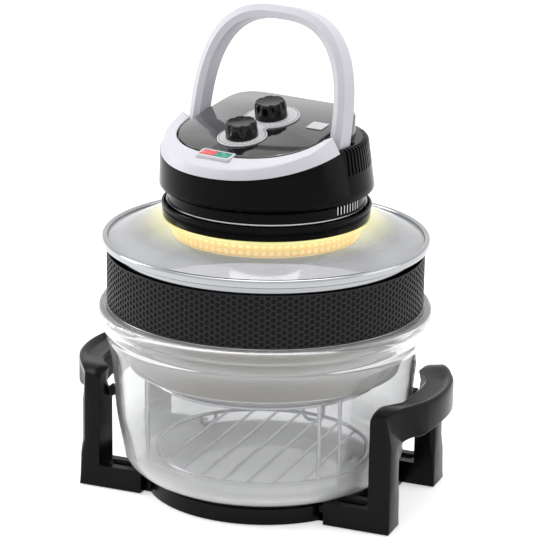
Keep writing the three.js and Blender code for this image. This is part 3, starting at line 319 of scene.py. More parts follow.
def superellipse(half_x: float, half_y: float, power: float, centre_y: float, sides: int) -> Plan:
    """Return the plan points of a superellipse.

    Args:
        half_x: Half of its width.
        half_y: Half of its length.
        power: How square it is; 2 is round.
        centre_y: Where its middle lies on Y.
        sides: Number of points.

    Returns:
        Plan points, going anticlockwise.
    """
    plan = []
    for at in range(sides):
        angle = ROUND * at / sides
        x = half_x * signed_power(math.cos(angle), 2 / power)
        y = centre_y + half_y * signed_power(math.sin(angle), 2 / power)
        plan.append((x, y))
    return plan


def circle(radius: float, sides: int, centre_y: float = 0.0) -> Plan:
    """Return the plan points of a circle with its middle on the Y axis."""
    return superellipse(radius, radius, 2.0, centre_y, sides)


def level_ring(radius: float, z: float, sides: int) -> Ring:
    """Return the points of a level ring round the Z axis."""
    return [(x, y, z) for x, y in circle(radius, sides)]


def even_plan(plan: Plan, count: int) -> Plan:
    """Walk round a closed outline in even steps.

    Args:
        plan: The outline's points.
        count: Number of points wanted.

    Returns:
        Points at even distances along the outline.
    """
    ring = [Vector(p) for p in plan] + [Vector(plan[0])]
    lengths = [0.0]
    for a, b in zip(ring, ring[1:]):
        lengths.append(lengths[-1] + (b - a).length)
    result, at = [], 0
    for step in range(count):
        goal = lengths[-1] * step / count
        while lengths[at + 1] < goal:
            at += 1
        share = (goal - lengths[at]) / max(lengths[at + 1] - lengths[at], 1e-9)
        spot = ring[at].lerp(ring[at + 1], share)
        result.append((spot.x, spot.y))
    return result


def smoothstep(value: float, low: float, high: float) -> float:
    """Return a smooth share from 0 at low to 1 at high."""
    share = max(0.0, min(1.0, (value - low) / (high - low)))
    return share * share * (3 - 2 * share)


# Finishes


class Grain(Enum):
    """How a finish's fine pattern lies on a piece."""

    EVEN = "even"
    ROUND_AXIS = "round the axis"


def cleared_tree(owner: bpy.types.Material | bpy.types.World) -> Tree:
    """Empty the node tree of a material or a world.

    Args:
        owner: The material or world.

    Returns:
        Its tree, with no nodes.
    """
    owner.use_nodes = True
    owner.node_tree.nodes.clear()
    return owner.node_tree


def add_node(tree: Tree, kind: str, inputs: Inputs | None = None, **settings: object) -> Node:
    """Add a node, make its settings, then fill its inputs.

    Args:
        tree: The node tree that gets it.
        kind: The node's type name.
        inputs: Values and sockets, by the name or index of the input that each goes to.
        settings: The node's own settings, by name.

    Returns:
        The node.
    """
    node = tree.nodes.new(kind)
    for name, value in settings.items():
        setattr(node, name, value)
    for name, value in (inputs or {}).items():
        if isinstance(value, Socket):
            tree.links.new(value, node.inputs[name])
        else:
            node.inputs[name].default_value = value
    return node


def number(tree: Tree, operation: str, *values: Socket | float) -> Socket:
    """Return the result of a Math node on sockets or numbers."""
    return add_node(tree, "ShaderNodeMath", dict(enumerate(values)), operation=operation).outputs[0]


def noise(tree: Tree, where: Socket, scale: float, detail: float) -> Socket:
    """Return a noise value with so many cells in a metre and so many finer layers."""
    inputs = {"Vector": where, "Scale": scale, "Detail": detail}
    return add_node(tree, "ShaderNodeTexNoise", inputs).outputs["Fac"]


def colour_mix(tree: Tree, share: Socket, first: Colour | Socket, second: Colour) -> Socket:
    """Mix two colours by a share.

    Args:
        tree: The node tree.
        share: How much of the second colour shows.
        first: The first colour, or a socket that carries it.
        second: The second colour.

    Returns:
        The socket with the mixed colour.
    """
    start = first if isinstance(first, Socket) else (*first, 1.0)
    inputs = {"Factor": share, "A": start, "B": (*second, 1.0)}
    return add_node(tree, "ShaderNodeMix", inputs, data_type="RGBA").outputs["Result"]


def bump_normal(tree: Tree, height: Socket, strength: float, depth_mm: float) -> Socket:
    """Return a surface normal tipped by a height pattern."""
    inputs = {"Strength": strength, "Distance": depth_mm * MM, "Height": height}
    return add_node(tree, "ShaderNodeBump", inputs).outputs["Normal"]


def map_range(tree: Tree, value: Socket, to: Pair, source: Pair = (0.0, 1.0), **settings: str) -> Socket:
    """Return a value carried from a source range to another one."""
    inputs = {"Value": value, "From Min": source[0], "From Max": source[1], "To Min": to[0], "To Max": to[1]}
    return add_node(tree, "ShaderNodeMapRange", inputs, **settings).outputs["Result"]


def axis_distance(tree: Tree, where: Socket) -> Socket:
    """Measure how far out from the bowl's axis a place lies.

    Args:
        tree: The node tree.
        where: The socket with the coordinates.

    Returns:
        The socket with the distance.
    """
    level = {0: where, 1: (1.0, 1.0, 0.0)}
    flat = add_node(tree, "ShaderNodeVectorMath", level, operation="MULTIPLY").outputs["Vector"]
    return add_node(tree, "ShaderNodeVectorMath", {0: flat}, operation="LENGTH").outputs["Value"]


@dataclass(frozen=True)
class Finish:
    """A surface with a little uneven colour, roughness and bump, as moulded or rolled parts have."""

    name: str
    slot: str
    colour: Colour
    worn: Colour
    roughness: float
    unevenness: float = 0.06
    grain: Grain = Grain.EVEN
    grain_mm: float = 1.2
    patch_cells: float = 18.0
    bump: float = 0.08
    bump_mm: float = 0.1
    metallic: float = 0.0
    coat: float = 0.0
    coat_roughness: float = 0.05
    specular: float = 0.5
    ior: float = 1.5

    def material(self) -> bpy.types.Material:
        """Return the finish's material, made on the first call.

        Returns:
            The material with its node tree.
        """
        found = bpy.data.materials.get(self.name)
        if found is not None:
            return found
        made = bpy.data.materials.new(self.name)
        tree = cleared_tree(made)
        add_node(tree, "ShaderNodeOutputMaterial", {"Surface": self.shade(tree, self.coordinates(tree))})
        return made

    def coordinates(self, tree: Tree) -> Socket:
        """Lay the pattern's coordinates on the piece.

        Args:
            tree: The material's node tree.

        Returns:
            The socket that carries the coordinates.
        """
        source = add_node(tree, "ShaderNodeTexCoord").outputs["Object"]
        if self.grain is Grain.EVEN:
            return source
        height = add_node(tree, "ShaderNodeSeparateXYZ", {"Vector": source}).outputs["Z"]
        inputs = {"X": axis_distance(tree, source), "Y": height}
        return add_node(tree, "ShaderNodeCombineXYZ", inputs).outputs["Vector"]

    def shade(self, tree: Tree, where: Socket) -> Socket:
        """Build the shader from the finish's values.

        Args:
            tree: The material's node tree.
            where: The socket with the coordinates.

        Returns:
            The shader's output socket.
        """
        broad = noise(tree, where, self.patch_cells, 3.0)
        fine = noise(tree, where, 1000.0 / self.grain_mm, 2.0)
        smoothest = max(0.0, self.roughness - self.unevenness)
        inputs = {
            "Base Color": colour_mix(tree, broad, self.colour, self.worn),
            "Roughness": map_range(tree, fine, (smoothest, self.roughness + self.unevenness)),
            "Metallic": self.metallic,
            "Coat Weight": self.coat,
            "Coat Roughness": self.coat_roughness,
            "Specular IOR Level": self.specular,
            "IOR": self.ior,
        }
        if self.bump > 0:
            inputs["Normal"] = bump_normal(tree, fine, self.bump, self.bump_mm)
        return add_node(tree, "ShaderNodeBsdfPrincipled", inputs).outputs["BSDF"]


@dataclass(frozen=True)
class RaisedHighlightFinish(Finish):
    """A finish whose raised parts, told by their distance from the axis in metres, wear a painted highlight.
    """

    raised: Colour = (0.036, 0.036, 0.038)
    raised_from: float = 0.1577
    raised_to: float = 0.15795

    def shade(self, tree: Tree, where: Socket) -> Socket:
        """Build the shader and paint a highlight colour on its raised parts.

        Args:
            tree: The material's node tree.
            where: The socket with the coordinates.

        Returns:
            The shader's output socket.
        """
        surface = super().shade(tree, where)
        colour = surface.node.inputs["Base Color"]
        share = map_range(tree, axis_distance(tree, where), (0.0, 1.0), (self.raised_from, self.raised_to))
        # Painted highlight: the raised webs get a paler base colour that stands in for light catching their
        # edges.
        tree.links.new(colour_mix(tree, share, colour.links[0].from_socket, self.raised), colour)
        return surface


@dataclass(frozen=True)
class GlassFinish(Finish):
    """Clear moulded glass with faint waves, which lets the lamps' light through.

    It is cloudier at some heights, and may carry a painted glow round the lamp: an emission by
    distance from the axis that stands in for the lamp's light on the glass. Its heights and
    distances are in metres.
    """

    patch_cells: float = 25.0
    bump_mm: float = 0.3
    haze: tuple[Pair, ...] = ((0.0, 0.1),)
    lit: float = 0.0
    lit_from: float = 0.095
    lit_to: float = 0.135
    light: Colour = (1.0, 0.95, 0.40)

    def shade(self, tree: Tree, where: Socket) -> Socket:
        """Build the glass shader, clear to the lamps' shadow rays.

        Args:
            tree: The material's node tree.
            where: The socket with the coordinates.

        Returns:
            The shader's output socket.
        """
        broad = noise(tree, where, self.patch_cells, 2.0)
        up = add_node(tree, "ShaderNodeSeparateXYZ", {"Vector": where}).outputs["Z"]
        ramp = add_node(tree, "ShaderNodeValToRGB", {"Fac": up})
        bands = ramp.color_ramp.elements
        while len(bands) < len(self.haze):
            bands.new(0.5)
        for band, (height, haze) in zip(bands, self.haze):
            band.position = height
            band.color = (1 - haze, 1 - haze, 1 - haze, 1.0)
        inputs = {
            "Base Color": colour_mix(tree, broad, self.colour, self.worn),
            "Normal": bump_normal(tree, broad, self.bump, self.bump_mm),
            "Roughness": self.roughness,
            "Transmission Weight": ramp.outputs["Color"],
            "Specular IOR Level": self.specular,
            "IOR": self.ior,
        }
        # Painted glow: emission by distance from the axis stands in for the lamp's light on the glass.
        if self.lit > 0:
            inputs["Emission Color"] = (*self.light, 1.0)
            inputs["Emission Strength"] = map_range(
                tree, axis_distance(tree, where), (self.lit, 0.0), (self.lit_from, self.lit_to),
                interpolation_type="SMOOTHSTEP")
        glass = add_node(tree, "ShaderNodeBsdfPrincipled", inputs).outputs["BSDF"]
        clear = add_node(tree, "ShaderNodeBsdfTransparent").outputs["BSDF"]
        shadow = add_node(tree, "ShaderNodeLightPath").outputs["Is Shadow Ray"]
        return add_node(tree, "ShaderNodeMixShader", {"Fac": shadow, 1: glass, 2: clear}).outputs["Shader"]


@dataclass(frozen=True)
class GlowFinish(Finish):
    """A surface with its own colour and an uneven emission; on parts that are no lamps it is painted light.
    """

    glow: Colour = (1.0, 0.9, 0.5)
    strength: float = 1.0
    glow_cells: float = 60.0
    glow_spread: float = 0.15

    def shade(self, tree: Tree, where: Socket) -> Socket:
        """Build the shader and add the glow to it.

        Args:
            tree: The material's node tree.
            where: The socket with the coordinates.

        Returns:
            The shader's output socket.
        """
        surface = super().shade(tree, where)
        shader = surface.node
        broad = noise(tree, where, self.glow_cells, 1.0)
        least, most = (1 - self.glow_spread) * self.strength, (1 + self.glow_spread) * self.strength
        tree.links.new(map_range(tree, broad, (least, most)), shader.inputs["Emission Strength"])
        shader.inputs["Emission Color"].default_value = (*self.glow, 1.0)
        return surface


STAND_BLACK = Finish(
    "stand_black_plastic", "stand_plastic", (0.0015, 0.0015, 0.0018), (0.003, 0.003, 0.0034), 0.24,
    unevenness=0.03, grain_mm=0.9, bump=0.04, specular=0.12,
)
HEAD_BLACK = Finish(
    "head_black_plastic", "head_plastic", (0.0015, 0.0015, 0.002), (0.003, 0.003, 0.0035), 0.14,
    unevenness=0.03, grain_mm=0.8, bump=0.02, specular=0.06,
)
KNOB_BLACK = Finish(
    "knob_black_plastic", "head_plastic", (0.002, 0.002, 0.0025), (0.004, 0.004, 0.0045), 0.1,
    unevenness=0.03, grain_mm=0.7, bump=0.02, specular=0.25,
)
TRIM_LILAC = Finish(
    "trim_pale_plastic", "trim_plastic", (0.60, 0.585, 0.64), (0.63, 0.615, 0.665), 0.42,
    unevenness=0.05, grain_mm=0.9, bump=0.05,
)
PANEL_GLOSS = Finish(
    "panel_gloss_black", "panel_gloss", (0.006, 0.006, 0.007), (0.010, 0.010, 0.011), 0.07,
    unevenness=0.02, grain_mm=2.0, bump=0.01, specular=0.7, coat=0.7,
)
DIAL_GREY = Finish(
    "dial_pale_print", "trim_plastic", (0.60, 0.60, 0.625), (0.65, 0.65, 0.675), 0.35,
    unevenness=0.04, grain_mm=0.8, bump=0.03,
)
TICK_DARK = Finish(
    "dial_dark_print", "head_plastic", (0.02, 0.02, 0.022), (0.03, 0.03, 0.032), 0.4,
    unevenness=0.03, grain_mm=0.8, bump=0.02,
)
STEEL_ROLLED = Finish(
    "rolled_steel", "steel", (0.33, 0.34, 0.355), (0.45, 0.46, 0.475), 0.12,
    unevenness=0.04, grain=Grain.ROUND_AXIS, grain_mm=0.5, bump=0.03, metallic=1.0,
)
STEEL_WIRE = Finish(
    "steel_wire", "steel", (0.42, 0.43, 0.45), (0.52, 0.53, 0.545), 0.2,
    unevenness=0.05, grain_mm=0.6, bump=0.04, metallic=1.0,
)
TRAY_STEEL = Finish(
    "tray_steel", "tray_metal", (0.46, 0.465, 0.475), (0.54, 0.545, 0.55), 0.3,
    grain=Grain.ROUND_AXIS, grain_mm=0.4, bump=0.06, metallic=1.0,
)
# The honeycomb webs carry a painted highlight: a paler base colour on the raised parts.
BAND_BLACK = RaisedHighlightFinish(
    "band_black_paint", "band_paint", (0.006, 0.006, 0.0065), (0.010, 0.010, 0.011), 0.34,
    unevenness=0.05, grain_mm=0.7, specular=0.1,
)
RUBBER_BLACK = Finish(
    "rubber_black", "rubber", (0.012, 0.012, 0.012), (0.022, 0.022, 0.022), 0.8,
    unevenness=0.08, grain_mm=0.6, bump=0.2, specular=0.3,
)
CERAMIC_CREAM = Finish(
    "ceramic_cream", "ceramic", (0.78, 0.74, 0.66), (0.84, 0.80, 0.72), 0.6,
    unevenness=0.08, grain_mm=0.7, bump=0.2,
)
ALUMINIUM = Finish(
    "cast_aluminium", "plain_aluminium", (0.55, 0.56, 0.57), (0.66, 0.67, 0.68), 0.4,
    unevenness=0.1, grain_mm=0.8, bump=0.2, metallic=1.0,
)
RED_LENS = GlowFinish(
    "red_lamp_lens", "red_lens", (0.66, 0.09, 0.09), (0.72, 0.12, 0.12), 0.15,
    grain_mm=1.0, bump=0.05, glow=(0.75, 0.10, 0.10), strength=0.12,
)
GREEN_LENS = GlowFinish(
    "green_lamp_lens", "green_lens", (0.02, 0.26, 0.18), (0.03, 0.31, 0.22), 0.15,
    grain_mm=1.0, bump=0.05, glow=(0.02, 0.3, 0.2), strength=0.08,
)
HOT_TUBE = GlowFinish(
    "lit_lamp_tube", "lamp_glass", (1.0, 0.92, 0.7), (1.0, 0.95, 0.8), 0.2,
    grain_mm=3.0, bump=0.0, glow=(1.0, 0.88, 0.5), strength=1.6,
)
# Painted lamp light: the perforated sheet is no lamp; its orange colour and glow stand in for the lamp's
# light on and through it.
LIT_SHEET = GlowFinish(
    "lit_perforated_sheet", "steel", (0.80, 0.50, 0.20), (0.86, 0.60, 0.28), 0.35,
    grain_mm=0.6, bump=0.05, glow=(0.92, 0.36, 0.05), strength=0.8,
)
# Painted lamp light: the aluminium reflector is no lamp; its yellow colour and glow stand in for the lamp's
# light on it.
LIT_REFLECTOR = GlowFinish(
    "lit_reflector", "plain_aluminium", (0.95, 0.85, 0.45), (1.0, 0.92, 0.55), 0.3,
    grain_mm=0.8, bump=0.05, glow=(1.0, 0.92, 0.5), strength=0.6,
)
BOWL_GLASS = GlassFinish(
    "bowl_clear_glass", "glass", (0.84, 0.845, 0.85), (0.87, 0.875, 0.88), 0.0,
    bump=0.04, ior=1.42,
    haze=((0.0, 0.45), (0.04, 0.4), (0.075, 0.1), (0.15, 0.07), (0.168, 0.12), (0.2, 0.12)),
)
# lit gives the glass a painted yellow glow near the collar, standing in for the lamp's light on it.
LID_GLASS = GlassFinish(
    "lid_clear_glass", "glass", (0.555, 0.56, 0.575), (0.595, 0.60, 0.615), 0.03,
    bump=0.03, ior=1.42, haze=((0.0, 0.45), (0.268, 0.45), (0.277, 0.12), (1.0, 0.12)), lit=0.36,
)


# Pieces


def mesh_of(name: str, form: Form, merge_mm: float = 0.002) -> bpy.types.Mesh:
    """Make a mesh in metres from a form, with doubles merged and faces outward.

    Args:
        name: The mesh's name.
        form: Its points and faces, in millimetres.
        merge_mm: Points nearer than this become one.

    Returns:
        The mesh.
    """
    mesh = bpy.data.meshes.new(name)
    mesh.from_pydata([tuple(c * MM for c in p) for p in form.points], [], form.faces)
    work = bmesh.new()
    work.from_mesh(mesh)
    bmesh.ops.remove_doubles(work, verts=work.verts, dist=merge_mm * MM)
    bmesh.ops.dissolve_degenerate(work, dist=0.2 * merge_mm * MM, edges=work.edges)
    bmesh.ops.recalc_face_normals(work, faces=work.faces)
    work.to_mesh(mesh)
    work.free()
    return mesh


def new_object(name: str, data: bpy.types.ID) -> bpy.types.Object:
    """Put a mesh, a camera or a lamp into the scene as an object at the origin.

    Args:
        name: The object's name.
        data: The mesh, camera or lamp.

    Returns:
        The object.
    """
    made = bpy.data.objects.new(name, data)
    bpy.context.scene.collection.objects.link(made)
    return made


def raw_piece(name: str, form: Form) -> bpy.types.Object:
    """Return a form as an object that isn't dressed yet."""
    return new_object(name, mesh_of(name, form))


def baked(made: bpy.types.Object) -> bpy.types.Object:
    """Turn an object's modifiers into its plain mesh.

    Args:
        made: The object with live modifiers.

    Returns:
        The same object, with no modifiers left.
    """
    graph = bpy.context.evaluated_depsgraph_get()
    mesh = bpy.data.meshes.new_from_object(made.evaluated_get(graph))
    mesh.name = made.name
    made.modifiers.clear()
    old, made.data = made.data, mesh
    bpy.data.meshes.remove(old)
    return made


def cut_with(made: bpy.types.Object, tool: bpy.types.Object) -> None:
    """Cut one object out of another, then remove it.

    Args:
        made: The object that is cut.
        tool: The object that is taken away.
    """
    cut = made.modifiers.new("cut", "BOOLEAN")
    cut.operation = "DIFFERENCE"
    cut.solver = "EXACT"
    cut.object = tool
    baked(made)
    bpy.data.objects.remove(tool)


def carve(made: bpy.types.Object, cutter: Form) -> None:
    """Cut a form out of an object."""
    cut_with(made, raw_piece("cutter", cutter))


def move_mesh(made: bpy.types.Object, place: Matrix) -> None:
    """Move an object's mesh to a place that is given in millimetres."""
    shrink, grow = Matrix.Diagonal((MM, MM, MM, 1.0)), Matrix.Diagonal((1 / MM, 1 / MM, 1 / MM, 1.0))
    made.data.transform(shrink @ place @ grow)


@dataclass(frozen=True)
class Dress:
    """What a finished piece wears and what carries it."""

    finish: Finish
    body: str
    replaces: tuple[str, ...] = ()
    sharp_deg: float = 32.0
    bevel_mm: float = 0.0
    bevel_steps: int = 2
    bevel_deg: float = 30.0


def finish_piece(made: bpy.types.Object, dress: Dress) -> None:
    """Shade, dress and hand over a piece to the body that carries it.

    Args:
        made: The piece's object.
        dress: Its finish, its body and the nodes that it stands for.
    """
    mesh = made.data
    mesh.materials.clear()
    mesh.materials.append(dress.finish.material())
    mesh.shade_smooth()
    mesh.set_sharp_from_angle(angle=math.radians(dress.sharp_deg))
    if dress.bevel_mm > 0:
        bevel = made.modifiers.new("rounded_edges", "BEVEL")
        bevel.width = dress.bevel_mm * MM
        bevel.segments = dress.bevel_steps
        bevel.limit_method = "ANGLE"
        bevel.angle_limit = math.radians(dress.bevel_deg)
        bevel.harden_normals = True
        bevel.use_clamp_overlap = True
    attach(made, dress.body)
    if dress.replaces:
        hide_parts(*dress.replaces)


def add_piece(name: str, form: Form, dress: Dress) -> None:
    """Make a form into a piece, dressed and handed over to its body."""
    finish_piece(raw_piece(name, form), dress)


def dress_node(node: str, finish: Finish) -> None:
    """Give a kept CAD node its material.

    Args:
        node: The node's name.
        finish: The finish that it gets.
    """
    slots = bpy.data.objects[node].data.materials
    slots.clear()
    slots.append(finish.material())


def start_group(name: str, sizes: list[tuple[str, str]]) -> tuple[Tree, Node]:
    """Start a Geometry Nodes tree that takes a shape, some sizes and a finish.

    Args:
        name: The tree's name.
        sizes: Names of its size inputs, each with the kind of its socket.

    Returns:
        The tree and its input node.
    """
    tree = bpy.data.node_groups.new(name, "GeometryNodeTree")
    for label, kind in (("Shape", "Geometry"), *sizes, ("Finish", "Material")):
        tree.interface.new_socket(label, in_out="INPUT", socket_type="NodeSocket" + kind)
    tree.interface.new_socket("Result", in_out="OUTPUT", socket_type="NodeSocketGeometry")
    return tree, add_node(tree, "NodeGroupInput")


def end_group(tree: Tree, given: Node, shape: Socket) -> Tree:
    """End a Geometry Nodes tree with Realize Instances and Set Material.

    Args:
        tree: The tree.
        given: Its input node.
        shape: The socket with the finished shape.

    Returns:
        The tree.
    """
    real = add_node(tree, "GeometryNodeRealizeInstances", {0: shape}).outputs[0]
    inputs = {"Geometry": real, "Material": given.outputs["Finish"]}
    painted = add_node(tree, "GeometryNodeSetMaterial", inputs).outputs[0]
    add_node(tree, "NodeGroupOutput", {"Result": painted})
    return tree


def run_group(made: bpy.types.Object, tree: Tree, values: dict[str, object]) -> bpy.types.Object:
    """Run a Geometry Nodes tree on an object and keep the result as its plain mesh.

    Args:
        made: The object that the tree starts from.
        tree: The tree.
        values: What its inputs get, by their names.

    Returns:
        The same object.
    """
    modifier = made.modifiers.new("tree", "NODES")
    modifier.node_group = tree
    for socket in tree.interface.items_tree:
        if socket.in_out == "INPUT" and socket.name in values:
            modifier[socket.identifier] = values[socket.name]
    return baked(made)


class Layout(Enum):
    """How a repeat tree sets out its copies."""

    ROUND_AXIS = "rows round an axis"
    LINE = "along a line"


@dataclass
class RepeatTree:
    """A Geometry Nodes tree that repeats a piece and joins the copies into one mesh."""

    layout: Layout

    def group(self) -> Tree:
        """Return the tree for the layout, made on the first call.

        Returns:
            The node group.
        """
        name = "repeat " + self.layout.value
        found = bpy.data.node_groups.get(name)
        if found is not None:
            return found
        if self.layout is Layout.ROUND_AXIS:
            tree, given = start_group(name, [("Columns", "Int"), ("Column Angle", "Float"), ("Rows", "Int"),
                                             ("Row Rise", "Float"), ("Stagger", "Float")])
            count, place, turn = self.rows_round_axis(tree, given)
        else:
            tree, given = start_group(name, [("Count", "Int"), ("Step", "Vector")])
            index = add_node(tree, "GeometryNodeInputIndex").outputs[0]
            inputs = {0: given.outputs["Step"], "Scale": index}
            place = add_node(tree, "ShaderNodeVectorMath", inputs, operation="SCALE").outputs["Vector"]
            count, turn = given.outputs["Count"], (0.0, 0.0, 0.0)
        points = add_node(tree, "GeometryNodePoints", {"Count": count, "Position": place}).outputs[0]
        inputs = {"Points": points, "Instance": given.outputs["Shape"], "Rotation": turn}
        return end_group(tree, given, add_node(tree, "GeometryNodeInstanceOnPoints", inputs).outputs[0])

    @staticmethod
    def rows_round_axis(tree: Tree, given: Node) -> tuple[Socket, Socket, Socket]:
        """Set out rows of points on the axis, each with its turn, every second one shifted up.

        Args:
            tree: The node group.
            given: Its input node.

        Returns:
            The sockets with the number of points, their places and their turns.
        """
        index = add_node(tree, "GeometryNodeInputIndex").outputs[0]
        columns = given.outputs["Columns"]
        column = number(tree, "MODULO", index, columns)
        row = number(tree, "FLOOR", number(tree, "DIVIDE", index, columns))
        shift = number(tree, "MULTIPLY", number(tree, "MODULO", column, 2.0), given.outputs["Stagger"])
        rise = number(tree, "MULTIPLY", number(tree, "ADD", row, shift), given.outputs["Row Rise"])
        angle = number(tree, "MULTIPLY", column, given.outputs["Column Angle"])
        place = add_node(tree, "ShaderNodeCombineXYZ", {"Z": rise}).outputs[0]
        turn = add_node(tree, "ShaderNodeCombineXYZ", {"Z": angle}).outputs[0]
        return number(tree, "MULTIPLY", columns, given.outputs["Rows"]), place, turn

    def repeat(self, name: str, piece: Form, finish: Finish, **sizes: object) -> bpy.types.Object:
        """Repeat a form and keep the copies as one plain mesh.

        Args:
            name: The object's name.
            piece: The form that is repeated, in its first place.
            finish: The finish that the copies get.
            sizes: Values of the tree's inputs, by their names with underscores.

        Returns:
            The object with the joined copies.
        """
        values = {"Rows": 1, "Row Rise": 0.0, "Stagger": 0.0, "Finish": finish.material()}
        values.update({label.replace("_", " "): value for label, value in sizes.items()})
        return run_group(raw_piece(name, piece), self.group(), values)


ROUND_TREE = RepeatTree(Layout.ROUND_AXIS)
LINE_TREE = RepeatTree(Layout.LINE)


@dataclass
class SweepTree:
    """A Geometry Nodes tree that runs a round section along the edges of a mesh."""

    name: str = "sweep along a path"

    def group(self) -> Tree:
        """Return the sweep tree, made on the first call.

        Returns:
            The node group.
        """
        found = bpy.data.node_groups.get(self.name)
        if found is not None:
            return found
        tree, given = start_group(self.name, [("Wire Radius", "Float"), ("Sides", "Int")])
        path = add_node(tree, "GeometryNodeMeshToCurve", {"Mesh": given.outputs["Shape"]}).outputs[0]
        inputs = {"Radius": given.outputs["Wire Radius"], "Resolution": given.outputs["Sides"]}
        section = add_node(tree, "GeometryNodeCurvePrimitiveCircle", inputs).outputs[0]
        inputs = {"Curve": path, "Profile Curve": section, "Fill Caps": True}
        return end_group(tree, given, add_node(tree, "GeometryNodeCurveToMesh", inputs).outputs[0])

    def sweep(self, name: str, paths: list[Path], radius: float, finish: Finish,
              sides: int = 12) -> bpy.types.Object:
        """Run wire along paths.

        Args:
            name: The object's name.
            paths: Each path's points, with True where it closes on itself.
            radius: The wire's radius.
            finish: The finish that the wire gets.
            sides: Sides of the round section.

        Returns:
            The object with the swept mesh.
        """
        points, edges = [], []
        for path, closed in paths:
            start = len(points)
            points += [tuple(c * MM for c in p) for p in path]
            edges += [(start + i, start + i + 1) for i in range(len(path) - 1)]
            if closed:
                edges.append((start + len(path) - 1, start))
        mesh = bpy.data.meshes.new(name)
        mesh.from_pydata(points, edges, [])
        values = {"Wire Radius": radius * MM, "Sides": sides, "Finish": finish.material()}
        return run_group(new_object(name, mesh), self.group(), values)


def merge_into(target: bpy.types.Object, *others: bpy.types.Object) -> bpy.types.Object:
    """Join plain objects into one and remove the others.

    Args:
        target: The object that stays.
        others: Objects whose meshes join it.

    Returns:
        The joined object.
    """
    work = bmesh.new()
    for part in (target, *others):
        work.from_mesh(part.data)
    work.to_mesh(target.data)
    work.free()
    for part in others:
        bpy.data.objects.remove(part)
    return target


# Stand


